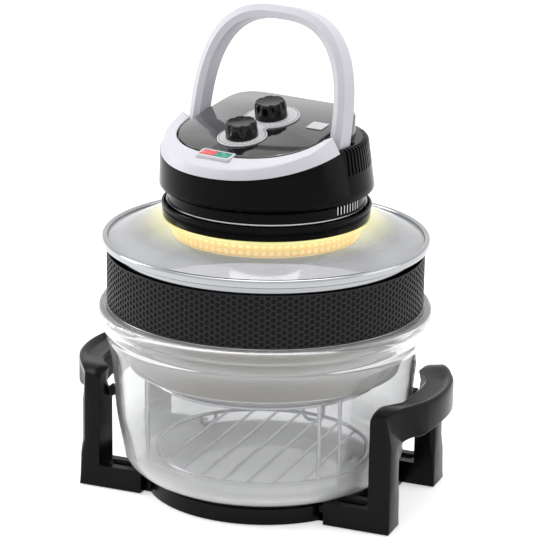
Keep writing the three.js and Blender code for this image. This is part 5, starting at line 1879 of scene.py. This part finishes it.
    def cut_vents(self, made: bpy.types.Object) -> None:
        """Cut the slots of the side vents and the neck vents.

        Args:
            made: The housing, still in the head's own frame.
        """
        half, reach, low = self.side_vent_width / 2, self.shoulder_radius + 3.0, self.neck_foot + 2.0
        slot = block((self.side_vent_inner, -half, self.side_vent_low), (reach, half, LEDGE_Z + 3.0))
        slot = slot.moved(turn_z(math.radians(self.side_vent_first)))
        half = self.neck_vent_width / 2
        neck = block((self.neck_radius - 7.0, -half, low), (reach, half, low + self.neck_vent_height))
        neck = neck.moved(turn_z(math.radians(self.neck_vent_first)))
        for piece, count, step, sign in ((slot, self.side_vents, self.side_vent_step, 1),
                                         (slot, self.side_vents, self.side_vent_step, -1),
                                         (neck, self.neck_vents, self.neck_vent_step, 1)):
            cutters = ROUND_TREE.repeat("vent_cutters", piece, HEAD_BLACK, Columns=count,
                                        Column_Angle=math.radians(step))
            if sign < 0:
                cutters.data.transform(Matrix.Diagonal((-1.0, 1.0, 1.0, 1.0)))
                cutters.data.flip_normals()
            cut_with(made, cutters)

    def neck_bars(self) -> None:
        """Set a thin bright bar on each web between the neck's vents."""
        low, r = self.neck_foot + 2.2, self.neck_radius
        bar = block((r + 0.1, -0.6, low), (r + 1.0, 0.6, low + self.neck_vent_height - 0.6))
        first = bar.moved(turn_z(math.radians(self.neck_vent_first - self.neck_vent_step / 2)))
        bars = ROUND_TREE.repeat("neck_vent_bars", first, STEEL_WIRE, Columns=self.neck_vents + 1,
                                 Column_Angle=math.radians(self.neck_vent_step))
        bars.data.transform(head_frame())
        finish_piece(bars, Dress(STEEL_WIRE, "lid"))

    def pod(self) -> None:
        """Make the pod cover under the panel, with the ribs on its rear wall."""
        slope = math.tan(PANEL_TILT)
        drop = self.panel_room / math.cos(PANEL_TILT) + 0.05
        sides = 120

        def top(y: float) -> float:
            """Return the height of the cover's top at a place along Y."""
            return PANEL_Z - drop + slope * y

        def bottom(y: float) -> float:
            """Return the height of the cover's lower edge at a place along Y."""
            front = PANEL_Z - 12.0 + slope * y
            return front + (self.pod_bottom - front) * smoothstep(y, TRIM_END_Y - 0.5, TRIM_END_Y + 0.5)

        def ring(inset: float, height: Callable[[float], float], down: float = 0.0) -> Ring:
            """Return a drawn-in ring that follows a height, lowered by a distance."""
            return [(x, y, height(y) - down) for x, y in self.pod_plan(-inset, sides)]

        edge, wall = [ring(0.0, top, 1.2), ring(0.35, top, 0.35), ring(1.2, top)], self.pod_wall
        roof = loft([ring(0.0, bottom), *edge, ring(self.roof_inset, top)])
        inside = loft([ring(wall, bottom), ring(wall, top, wall), ring(self.roof_inset, top, wall)])
        roof.faces.pop(len(roof.faces) - 2)
        inside.faces.pop(len(inside.faces) - 2)
        start = len(roof.points)
        roof.add(inside)
        for at in range(sides):
            side = (at + 1) % sides
            roof.faces.append((at, side, start + side, start + at))
        made = raw_piece("pod_cover_moulding", roof)
        panel = Matrix.Translation((0, 0, PANEL_Z)) @ Matrix.Rotation(PANEL_TILT, 4, "X")
        for y in (TIMER_Y, HEAT_Y):
            carve(made, prism(circle(self.spindle_hole, HOLE_SIDES, y), -14.0, 4.0).moved(panel))
        for sign in (1, -1):
            place = Matrix.Translation((0, 0, PIVOT_Z)) @ Matrix.Rotation(math.radians(90.0 * sign), 4, "Y")
            carve(made, prism(circle(self.pin_hole, HOLE_SIDES), 60.0, 88.0).moved(place))
        ribs = self.rear_ribs()
        for part, nodes in ((made, ("pod_cover",)), (ribs, ())):
            part.data.transform(head_frame())
            finish_piece(part, Dress(PANEL_GLOSS, "lid", nodes, 30.0))

    def rear_ribs(self) -> bpy.types.Object:
        """Return the upright ribs that stand along the pod's rear wall.

        Returns:
            An object with the ribs, each set on the wall and level with its edge.
        """
        rear_y, last = self.pod_centre + self.rib_from * self.pod_rear_length, self.rib_count - 1
        plan = even_plan(self.pod_plan(-0.2, 240), 1200)
        rear = sorted((p for p in plan if p[1] > rear_y), key=lambda p: -p[0])
        points = [rear[round(at * (len(rear) - 1) / last)] for at in range(self.rib_count)]
        rib = prism(circle(self.rib_radius, 12), self.rib_low, self.rib_high)
        made = LINE_TREE.repeat("rear_ribs", rib, PANEL_GLOSS, Count=self.rib_count, Step=(0.0, 0.0, 0.0))
        each = len(made.data.vertices) // self.rib_count
        middle = (self.rib_low + self.rib_high) / 2 * MM
        for index, vertex in enumerate(made.data.vertices):
            x, y = points[min(index // each, last)]
            vertex.co.x += x * MM
            vertex.co.y += y * MM
            if vertex.co.z > middle:
                vertex.co.z = (PANEL_Z - 0.7 + math.tan(PANEL_TILT) * y) * MM
        return made

    def trim(self) -> None:
        """Loft the pale front trim that wraps the pod."""
        skin, centre, power = self.trim_skin, self.ledge_centre, self.ledge_power
        foot = EdgeCurve(self.ledge_half_width, self.ledge_half_length, centre, power,
                         self.trim_z, self.trim_slope)
        crease = EdgeCurve(self.crease_half_width, centre - self.crease_front, centre, power,
                           self.crease_z, self.crease_slope)
        edge = EdgeCurve(self.pod_front + 0.6, self.pod_length + 0.6, self.pod_centre, self.pod_power,
                         PANEL_Z, math.tan(PANEL_TILT))
        inside = [edge.shifted(0.0, skin), crease.shifted(skin, skin), foot.shifted(skin, 0.0)]
        curves = [foot, crease, edge, *inside]
        rings = [self.trim_section([c.point(at / self.trim_steps) for c in curves])
                 for at in range(self.trim_steps + 1)]
        made = raw_piece("front_trim_moulding", loft(rings))
        made.data.transform(head_frame())
        carve(made, Controls().bezel_block(0.3, 6.0))
        finish_piece(made, Dress(TRIM_LILAC, "lid", ("front_trim",), 26.0, bevel_mm=0.5, bevel_deg=40.0))

    def trim_section(self, points: Ring) -> Ring:
        """Soften a section of the trim, and draw its crease in toward the ends.

        Args:
            points: The section's six corners: foot, crease, edge, then the same inside.

        Returns:
            The section's points.
        """
        for corner in (1, 4):
            x, y, z = points[corner]
            drawn = smoothstep(y, self.crease_from, TRIM_END_Y)
            points[corner] = (x * (1 - self.crease_in * drawn), y, z + self.crease_up * drawn)
        foot, middle, edge = (Vector(p) for p in points[:3])
        side, top, sunk = (middle - foot), (edge - middle), Vector((0, 0, 0.05))
        before, after = side.normalized(), top.normalized()
        soft = [middle - before * 2.4, (middle - before * 0.8 - sunk).lerp(middle, 0.1),
                middle + after * 0.9 - sunk, middle + after * 2.6]
        bulge = (foot + side * 0.5) + Vector((foot.x, foot.y, 0)).normalized() * 0.5
        lip = [edge - after * 0.8, edge - Vector((0, 0, 0.5))]
        return [points[0], *[tuple(p) for p in (bulge, *soft, *lip)], *points[3:]]


# Controls


class KnobStyle(Enum):
    """The two knobs, by what they set."""

    TIMER = "timer"
    HEAT = "heat"


@dataclass
class Knob:
    """A scalloped knob with its pointer."""

    style: KnobStyle
    y: float
    radius: float
    height: float
    notches: int = 7
    notch_depth: float = 2.4
    foot: float = 1.8
    bore: float = 3.3
    bore_depth: float = 9.3
    dish: float = 0.975
    pointer_width: float = 1.2

    def build(self) -> None:
        """Loft the knob, bore it for its spindle and add its pointer."""
        sides = self.notches * 26
        levels = [(0.0, 0.995), (0.05, 1.0), (0.3, 0.993), (0.42, 0.988), (0.55, 0.983), (0.68, 0.977),
                  (0.78, 0.97), (0.88, 0.955), (0.94, 0.93), (0.98, 0.885), (1.0, 0.83), (0.985, 0.76),
                  (0.975, 0.72)]
        rings = []
        for rise, share in levels:
            ring = []
            for at in range(sides):
                angle = ROUND * at / sides
                notch = abs(math.cos(angle * self.notches / 2)) ** 10 * smoothstep(rise, 0.3, 0.7)
                depth = notch * self.notch_depth if share > 0.8 else 0.0
                reach = (self.radius - depth) * share
                ring.append((reach * math.cos(angle), reach * math.sin(angle), rise * self.height))
            rings.append(ring)
        name = f"{self.style.value}_knob"
        made = raw_piece(f"{name}_moulding", loft(rings))
        carve(made, prism(circle(self.bore, HOLE_SIDES), -2.0, self.bore_depth))
        place = panel_frame() @ Matrix.Translation((0.0, self.y, self.foot))
        move_mesh(made, place)
        finish_piece(made, Dress(KNOB_BLACK, self.style.value, (name,), 40.0))
        top, half, r = self.height * self.dish, self.pointer_width / 2, self.radius
        pointer = prism(rectangle((-half, r * 0.2), (half, r * 0.66), 0.3), top - 0.2, top + 0.15)
        add_piece(f"{name}_pointer", pointer.moved(place), Dress(KNOB_BLACK, self.style.value))
        dress_node(f"{self.style.value}_spindle", STEEL_WIRE)


@dataclass
class Controls:
    """The sloping glossy panel with its dial plate, knobs, lamps and blank label."""

    panel: float = 2.4
    panel_inset: float = 1.2
    timer_y: float = TIMER_Y
    heat_y: float = HEAT_Y
    spindle_hole: float = 3.6
    timer_disc: float = 24.4
    heat_disc: float = 28.2
    waist: float = 25.0
    plate: float = 1.2
    print_height: float = 0.06
    tick_length: float = 2.0
    tick_width: float = 0.44
    bezel_length: float = 38.0
    bezel_width: float = 15.0
    bezel_y: float = -89.0
    bezel_stand: float = 0.8
    lens_length: float = 16.0
    lens_width: float = 10.0
    lens_spacing: float = 16.8
    label_length: float = 18.0
    label_width: float = 15.0
    label_x: float = 55.0
    label_y: float = 5.0

    def build(self) -> None:
        """Make everything on the panel."""
        self.panel_sheet()
        self.dial_plate()
        self.lamps()
        Knob(KnobStyle.TIMER, self.timer_y, radius=15.9, height=14.9).build()
        Knob(KnobStyle.HEAT, self.heat_y, radius=16.1, height=16.3).build()
        dress_node("timer_body", ALUMINIUM)
        dress_node("thermostat_body", ALUMINIUM)

    def bezel_block(self, gap: float, up: float) -> Form:
        """Return the block that the lamp bezel fills, in the row frame.

        Args:
            gap: How far the block is grown on each side.
            up: How far it reaches above the panel.

        Returns:
            The block.
        """
        x, y = self.bezel_length / 2 + gap, self.bezel_width / 2 + gap
        low = (-x, self.bezel_y - y, -self.panel - gap)
        return block(low, (x, self.bezel_y + y, up)).moved(panel_frame())

    def panel_sheet(self) -> None:
        """Make the glossy panel, with a softened edge and holes for the spindles."""
        outline = Head().pod_plan(-self.panel_inset, FINE_SIDES)
        plan = [(x, y / math.cos(PANEL_TILT)) for x, y in outline]
        sheet = pillow(plan, [(0.0, -self.panel), (0.0, -0.6), (0.2, -0.18), (0.6, 0.0)])
        made = raw_piece("control_panel_sheet", sheet.moved(panel_frame()))
        self.bore_spindles(made)
        carve(made, self.bezel_block(0.3, 6.0))
        finish_piece(made, Dress(PANEL_GLOSS, "lid", ("control_panel",), 40.0))

    def bore_spindles(self, made: bpy.types.Object) -> None:
        """Bore a sheet on the panel for both spindles."""
        for y in (self.timer_y, self.heat_y):
            carve(made, prism(circle(self.spindle_hole, HOLE_SIDES, y), -6.0, 6.0).moved(panel_frame()))

    def plate_plan(self, inset: float) -> Plan:
        """Return the outline of two discs joined by a waist.

        Args:
            inset: How far inside the plate's edge it runs.

        Returns:
            Plan points, going anticlockwise.
        """
        half, down, up = self.waist / 2 - inset, -math.pi / 2, math.pi / 2
        small, large = self.timer_disc - inset, self.heat_disc - inset
        low, high = math.pi - math.asin(half / small), math.pi - math.asin(half / large)
        return [*arc(small, down - low, down + low, 48, (0.0, self.timer_y)),
                *arc(large, up - high, up + high, 56, (0.0, self.heat_y))]

    def dial_plate(self) -> None:
        """Make the dial plate, its dark border line and the marks round each knob."""
        low, top = CLEARANCE, CLEARANCE + self.plate
        sunk, proud = top - 0.1, top + self.print_height
        plate = pillow(self.plate_plan(0.0), [(0.0, low), (0.0, top - 0.3), (0.3, top)])
        made = raw_piece("dial_plate_sheet", plate.moved(panel_frame()))
        self.bore_spindles(made)
        finish_piece(made, Dress(DIAL_GREY, "lid", ("dial_plate",), 40.0))
        line = loft([[(x, y, z) for x, y in self.plate_plan(inset)]
                     for inset, z in ((1.5, sunk), (1.5, proud), (2.2, proud), (2.2, sunk))], looped=True)
        add_piece("dial_border", line.moved(panel_frame()), Dress(TICK_DARK, "lid"))
        half = self.tick_width / 2
        for name, y, radius, count, sweep in (("timer", self.timer_y, 20.6, 25, 300.0),
                                              ("heat", self.heat_y, 23.4, 19, 270.0)):
            start = math.radians(90.0 - sweep / 2 + 180.0)
            tick = block((radius - self.tick_length, -half, sunk), (radius, half, proud)).moved(turn_z(start))
            ticks = ROUND_TREE.repeat(f"{name}_dial_marks", tick, TICK_DARK, Columns=count,
                                      Column_Angle=math.radians(-sweep / (count - 1)))
            move_mesh(ticks, panel_frame() @ Matrix.Translation((0.0, y, 0.0)))
            finish_piece(ticks, Dress(TICK_DARK, "lid"))

    def lamps(self) -> None:
        """Make the lamp bezel, its two lenses and the blank label."""
        x, y, stand = self.bezel_length / 2, self.bezel_width / 2, self.bezel_stand
        plan = rectangle((-x, self.bezel_y - y), (x, self.bezel_y + y), 2.2)
        form = pillow(plan, [(0.0, -self.panel), (0.0, stand - 0.5), (0.2, stand - 0.12), (0.7, stand)])
        bezel = raw_piece("lamp_bezel_frame", form.moved(panel_frame()))
        half_x, half_y, gap = self.lens_length / 2, self.lens_width / 2, CLEARANCE
        for name, sign, finish in (("red_lens", -1, RED_LENS), ("green_lens", 1, GREEN_LENS)):
            centre = sign * self.lens_spacing / 2
            low, high = (centre - half_x, self.bezel_y - half_y), (centre + half_x, self.bezel_y + half_y)
            window = block((low[0] - gap, low[1] - gap, -6.0), (high[0] + gap, high[1] + gap, 4.0))
            carve(bezel, window.moved(panel_frame()))
            levels = [(0.0, -self.panel), (0.0, 0.9), (0.25, 1.25), (0.9, 1.5)]
            lens = pillow(rectangle(low, high, 0.8), levels)
            add_piece(f"{name}_cap", lens.moved(panel_frame()), Dress(finish, "lid", (name,), 50.0))
        finish_piece(bezel, Dress(TRIM_LILAC, "lid", ("lamp_bezel",), 40.0))
        w, h = self.label_length / 2, self.label_width / 2
        plan = rectangle((self.label_x - w, self.label_y - h), (self.label_x + w, self.label_y + h), 1.0)
        label = pillow(plan, [(0.0, CLEARANCE), (0.0, 0.9), (0.2, 1.1)])
        add_piece("blank_label", label.moved(panel_frame()), Dress(DIAL_GREY, "lid", ("label_plate",), 40.0))


# Carry handle


@dataclass
class CarryHandle:
    """The folding carry handle: a squared arch with a ridge along its front."""

    pivot_z: float = PIVOT_Z
    lean_deg: float = -12.0
    half_width: float = 90.0
    height: float = 123.0
    power: float = 2.77
    thickness: float = 13.4
    depth: float = 21.0
    ridge: float = 3.0
    foot: float = 18.0
    steps: int = 120
    bore: float = 3.4
    bore_depth: float = 9.5

    def build(self) -> None:
        """Make the handle and dress its pins and switch."""
        self.arch()
        for side in ("left", "right"):
            dress_node(f"pivot_pin_{side}", STEEL_WIRE)
        dress_node("handle_switch", HEAD_BLACK)

    def outline(self, share: float, inset: float) -> Pair:
        """Return a point on the arch.

        Args:
            share: Its place from foot to foot.
            inset: How far inside the arch's outer line it lies.

        Returns:
            The point's X and its height above the pivot.
        """
        angle = math.pi * share
        return ((self.half_width - inset) * signed_power(math.cos(angle), 2 / self.power),
                (self.height - inset) * math.sin(angle) ** (2 / self.power))

    def section(self, share: float, drop: float) -> Ring:
        """Return one section of the handle.

        Args:
            share: Its place along the arch, from foot to foot.
            drop: How far below the pivot it lies.

        Returns:
            Twelve points round the section.
        """
        half = math.sqrt(max(0.25, self.foot**2 - drop**2)) if drop > 0 else self.depth / 2
        half = min(half, self.depth / 2)
        ridge = self.ridge * min(1.0, half / (self.depth / 2))
        wide, front, brow = self.thickness, ridge - half + 1.0, ridge * 0.72 - half
        marks = [(0.0, half - 1.6), (0.0, front), (0.6, brow), (0.5 * wide, -half), (wide - 0.6, brow),
                 (wide, front), (wide, -0.1 * half), (wide, 0.45 * half), (wide, half - 1.6),
                 (wide - 1.4, half), (0.5 * wide, half), (1.4, half)]
        spots = [(self.outline(share, inset), y) for inset, y in marks]
        return [(x, y, z - drop) for (x, z), y in spots]

    def arch(self) -> None:
        """Loft the arch with its rounded feet and bore it for the pins."""
        drops = [self.foot * s for s in (0.998, 0.985, 0.955, 0.90, 0.80, 0.65, 0.45, 0.2)]
        rings = [self.section(0.0, drop) for drop in drops]
        for at in range(self.steps + 1):
            share = at / self.steps
            share = share - 0.045 * math.sin(2 * ROUND * share) / 2
            rings.append(self.section(share, 0.0))
        rings += [self.section(1.0, drop) for drop in reversed(drops)]
        made = raw_piece("carry_handle_moulding", loft(rings))
        inner = self.half_width - self.thickness
        for sign in (1, -1):
            hole = prism(circle(self.bore, HOLE_SIDES), inner - 3.0, inner + self.bore_depth)
            carve(made, hole.moved(Matrix.Rotation(math.radians(90.0 * sign), 4, "Y")))
        lean = Matrix.Rotation(math.radians(self.lean_deg), 4, "X")
        place = Matrix.Translation((0, 0, self.pivot_z)) @ lean
        move_mesh(made, head_frame() @ place)
        finish_piece(made, Dress(TRIM_LILAC, "handle", ("carry_handle",), 22.0))


# Heater and fans


@dataclass
class Heater:
    """The heater under the glass: reflector, lamp, guard, motor and fans."""

    radius: float = 93.0
    sheet: float = 1.2
    flange: float = 5.0
    wall_outer: float = 1.4
    wall_inner: float = 2.4
    top: float = 279.7
    depth: float = 15.0
    centre_hole: float = 8.0
    hole_width: float = 0.36
    hole_height: float = 0.33
    guard: float = 1.5
    tube_ring: float = 66.0
    tube: float = 4.5
    tube_z: float = 270.5
    tube_gap_deg: float = 40.0
    wall_columns: int = 78
    wall_rows: int = 2
    guard_rings: int = 6
    guard_pitch: float = 13.0
    guard_hole: float = 4.2
    guard_twist: float = 0.2

    def build(self) -> None:
        """Make the lit pieces and dress the drive."""
        self.reflector()
        self.perforated_wall()
        self.guard_plate()
        self.lamp()
        for name in ("fan_motor", "convection_fan"):
            dress_node(name, ALUMINIUM)
        dress_node("motor_shaft", STEEL_WIRE)
        dress_node("cooling_fan", HEAD_BLACK)
        for side in ("left", "right"):
            dress_node(f"lamp_holder_{side}", CERAMIC_CREAM)

    def reflector(self) -> None:
        """Turn the reflector's top and its flange."""
        top, low, under = self.top, self.top - self.depth, self.top - self.sheet
        inner, outer = self.radius - self.wall_inner, self.radius - self.wall_outer
        edge = self.radius + self.flange
        profile = rounded([
            (self.centre_hole, under, 0.2), (inner, under, 0.8), (inner, low, 0.2), (outer, low, 0.2),
            (outer, under, 0.3), (edge, under, 0.3), (edge, top, 0.3), (self.centre_hole, top, 0.2),
        ], 2)
        # The reflector dish wears painted lamp light: a yellow colour and a glow.
        dress = Dress(LIT_REFLECTOR, "lid", ("lamp_reflector",), 40.0)
        add_piece("lamp_reflector_dish", turned(profile), dress)
        # The rim line wears the painted lamp glow of the perforated sheet.
        rim = turned(rectangle((edge - 0.1, under), (edge + 0.25, top + 0.05)))
        add_piece("reflector_rim_line", rim, Dress(LIT_SHEET, "lid", (), 40.0))

    def perforated_wall(self) -> None:
        """Make the reflector's perforated side from rows of holed cells."""
        rise = (self.depth - 2.2) / self.wall_rows
        step = ROUND / self.wall_columns
        low = self.top - self.depth + 0.6
        cell = self.holed_cell(step, rise, low)
        # The perforated wall wears painted lamp light: an orange colour and a glow.
        wall = ROUND_TREE.repeat("reflector_perforated_wall", cell, LIT_SHEET, Columns=self.wall_columns,
                                 Column_Angle=step, Rows=self.wall_rows, Row_Rise=rise * MM)
        finish_piece(wall, Dress(LIT_SHEET, "lid", (), 30.0))

    def holed_cell(self, step: float, rise: float, low: float) -> Form:
        """Return one sheet cell with a round hole through it.

        Args:
            step: The cell's angle round the axis.
            rise: Its height.
            low: Height of its lower edge.

        Returns:
            The cell, on +X.
        """
        edge = [(0.5, -0.5), (0.5, 0.0), (0.5, 0.5), (0.0, 0.5), (-0.5, 0.5), (-0.5, 0.0), (-0.5, -0.5),
                (0.0, -0.5)]
        hole = [(self.hole_width * math.cos(a), self.hole_height * math.sin(a))
                for a in (math.radians(-45.0 + 45.0 * at) for at in range(8))]
        points, faces = [], []
        for sink in (0.0, 1.0):
            for ring in (edge, hole):
                for a, h in ring:
                    angle, reach = a * step, self.radius - 0.2 - sink
                    points.append((reach * math.cos(angle), reach * math.sin(angle), low + rise * (h + 0.5)))
        for at in range(8):
            after = (at + 1) % 8
            faces.append((at, after, 8 + after, 8 + at))
            faces.append((16 + after, 16 + at, 24 + at, 24 + after))
            faces.append((8 + at, 8 + after, 24 + after, 24 + at))
        return Form(points, faces)

    def guard_plate(self) -> None:
        """Cut rings of round holes through the guard under the lamp."""
        top = self.top - self.depth - CLEARANCE
        low = top - self.guard
        made = raw_piece("lamp_guard_plate", prism(circle(self.radius, 120), low, top))
        for ring in range(1, self.guard_rings + 1):
            plan = [(self.guard_pitch * ring + x, y) for x, y in circle(self.guard_hole, 12)]
            hole = prism(plan, low - 2.0, top + 2.0).moved(turn_z(self.guard_twist * ring))
            count = 6 * ring
            cut_with(made, ROUND_TREE.repeat("guard_holes", hole, STEEL_WIRE, Columns=count,
                                             Column_Angle=ROUND / count))
        finish_piece(made, Dress(TRAY_STEEL, "lid", ("lamp_guard",), 30.0))

    def lamp(self) -> None:
        """Sweep the lit lamp tube round its ring."""
        gap = math.radians(self.tube_gap_deg)
        start = HEAD_TURN + math.pi / 2 + gap / 2
        ring = arc(self.tube_ring, start, start + ROUND - gap, 72)
        path = [(x, y, self.tube_z) for x, y in ring]
        tube = SweepTree().sweep("halogen_tube_lit", [(path, False)], self.tube - 0.1, HOT_TUBE, 14)
        finish_piece(tube, Dress(HOT_TUBE, "lid", ("halogen_tube",), 60.0))


# Studio


@dataclass
class Studio:
    """The white world, the pale floor, the soft lamps and the camera, with sizes in metres."""

    focal_px: float = 2461.27
    frame_px: float = 540.0
    azimuth_deg: float = 22.0
    distance: float = 2.34311
    height: float = 0.94398
    pitch: float = 0.297525
    yaw: float = 0.00185788
    roll: float = 0.0152960
    aim_z: float = 0.22
    ambient: float = 0.6
    floor_size: float = 18.0
    floor_colour: float = 0.8
    floor_glow: float = 0.5

    def build(self) -> None:
        """Set up the camera, the world, the floor and the lamps."""
        bpy.context.scene.view_settings.view_transform = "Standard"
        self.camera()
        self.world()
        self.floor()
        self.lamp("overhead", (-0.3, -0.6, 2.6), (2.2, 1.6), 20.0)
        self.lamp("behind", (0.2, 0.8, 3.2), (2.4, 1.0), 34.0)
        self.lamp("strip_left", (-2.3, -0.3, 1.0), (0.8, 2.0), 26.0)
        self.lamp("strip_right", (2.3, 0.7, 1.0), (1.4, 2.0), 10.0)

    def camera(self) -> None:
        """Put the camera where the photograph was taken from."""
        a = math.radians(self.azimuth_deg)
        across, away = Vector((math.cos(a), math.sin(a), 0)), Vector((-math.sin(a), math.cos(a), 0))
        up = Vector((0, 0, 1))
        right = across * math.cos(self.yaw) - away * math.sin(self.yaw)
        ahead = across * math.sin(self.yaw) + away * math.cos(self.yaw)
        forward = ahead * math.cos(self.pitch) - up * math.sin(self.pitch)
        upward = ahead * math.sin(self.pitch) + up * math.cos(self.pitch)
        c, s = math.cos(self.roll), math.sin(self.roll)
        right, upward = right * c + upward * s, upward * c - right * s
        data = bpy.data.cameras.new("photo_camera")
        data.sensor_width = 36.0
        data.lens = self.focal_px / self.frame_px * data.sensor_width
        data.clip_start, data.clip_end = 0.05, 60.0
        made = new_object("photo_camera", data)
        place = Matrix((right, upward, -forward)).transposed().to_4x4()
        place.translation = Vector((self.distance * math.sin(a), -self.distance * math.cos(a), self.height))
        made.matrix_world = place
        bpy.context.scene.camera = made

    def seen_share(self, tree: Tree) -> Socket:
        """Tell the camera's, glossy and transmission rays from the rest.

        Args:
            tree: The node tree.

        Returns:
            The socket with 1 for those rays and 0 for the others.
        """
        path = add_node(tree, "ShaderNodeLightPath")
        camera, glossy, through = (path.outputs[name] for name in SEEN_RAYS)
        return number(tree, "MAXIMUM", number(tree, "MAXIMUM", camera, glossy), through)

    def world(self) -> None:
        """Light the object evenly and show white behind it."""
        world = bpy.data.worlds.new("studio_world")
        bpy.context.scene.world = world
        tree = cleared_tree(world)
        layers = [{"Color": LIGHT_WHITE, "Strength": strength} for strength in (self.ambient, 1.0)]
        dim, white = (add_node(tree, "ShaderNodeBackground", layer).outputs[0] for layer in layers)
        mix = add_node(tree, "ShaderNodeMixShader", {"Fac": self.seen_share(tree), 1: dim, 2: white})
        add_node(tree, "ShaderNodeOutputWorld", {"Surface": mix.outputs[0]})

    def floor(self) -> None:
        """Lay a white floor that keeps the object's shadow."""
        mesh = bpy.data.meshes.new("studio_floor")
        half = self.floor_size / 2
        plan = rectangle((-half, -half), (half, half))
        mesh.from_pydata([(x, y, 0.0) for x, y in plan], [], [(0, 1, 2, 3)])
        made = new_object("studio_floor", mesh)
        material = bpy.data.materials.new("studio_floor")
        tree = cleared_tree(material)
        tone = (self.floor_colour, self.floor_colour, self.floor_colour, 1.0)
        matte = add_node(tree, "ShaderNodeBsdfDiffuse", {"Color": tone}).outputs[0]
        strength = number(tree, "MULTIPLY", self.seen_share(tree), self.floor_glow)
        glow = add_node(tree, "ShaderNodeEmission", {"Color": LIGHT_WHITE, "Strength": strength}).outputs[0]
        total = add_node(tree, "ShaderNodeAddShader", {0: matte, 1: glow}).outputs[0]
        add_node(tree, "ShaderNodeOutputMaterial", {"Surface": total})
        mesh.materials.append(material)

    def lamp(self, name: str, place: Point, size: Pair, power: float) -> None:
        """Hang a soft lamp that looks at the oven.

        Args:
            name: The lamp's name.
            place: Where it hangs, in metres.
            size: Its width and height, in metres.
            power: Its power in watts.
        """
        data = bpy.data.lights.new(name, "AREA")
        data.shape, data.size, data.size_y, data.energy = "RECTANGLE", size[0], size[1], power
        made = new_object(name, data)
        made.location = place
        made.rotation_euler = (Vector((0, 0, self.aim_z)) - Vector(place)).to_track_quat("-Z", "Y").to_euler()


def main() -> None:
    """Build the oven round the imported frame, piece group by piece group."""
    logging.basicConfig(level=logging.INFO, format="%(message)s")
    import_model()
    Studio().build()
    groups = (Stand(), CookingSpace(), Extender(), Lid(), Head(), Controls(), CarryHandle(), Heater())
    for group in groups:
        known = set(bpy.data.objects.keys())
        group.build()
        for name in sorted(set(bpy.data.objects.keys()) - known):
            LOG.info("%s: %s", type(group).__name__, name)


if __name__ == "__main__":
    main()
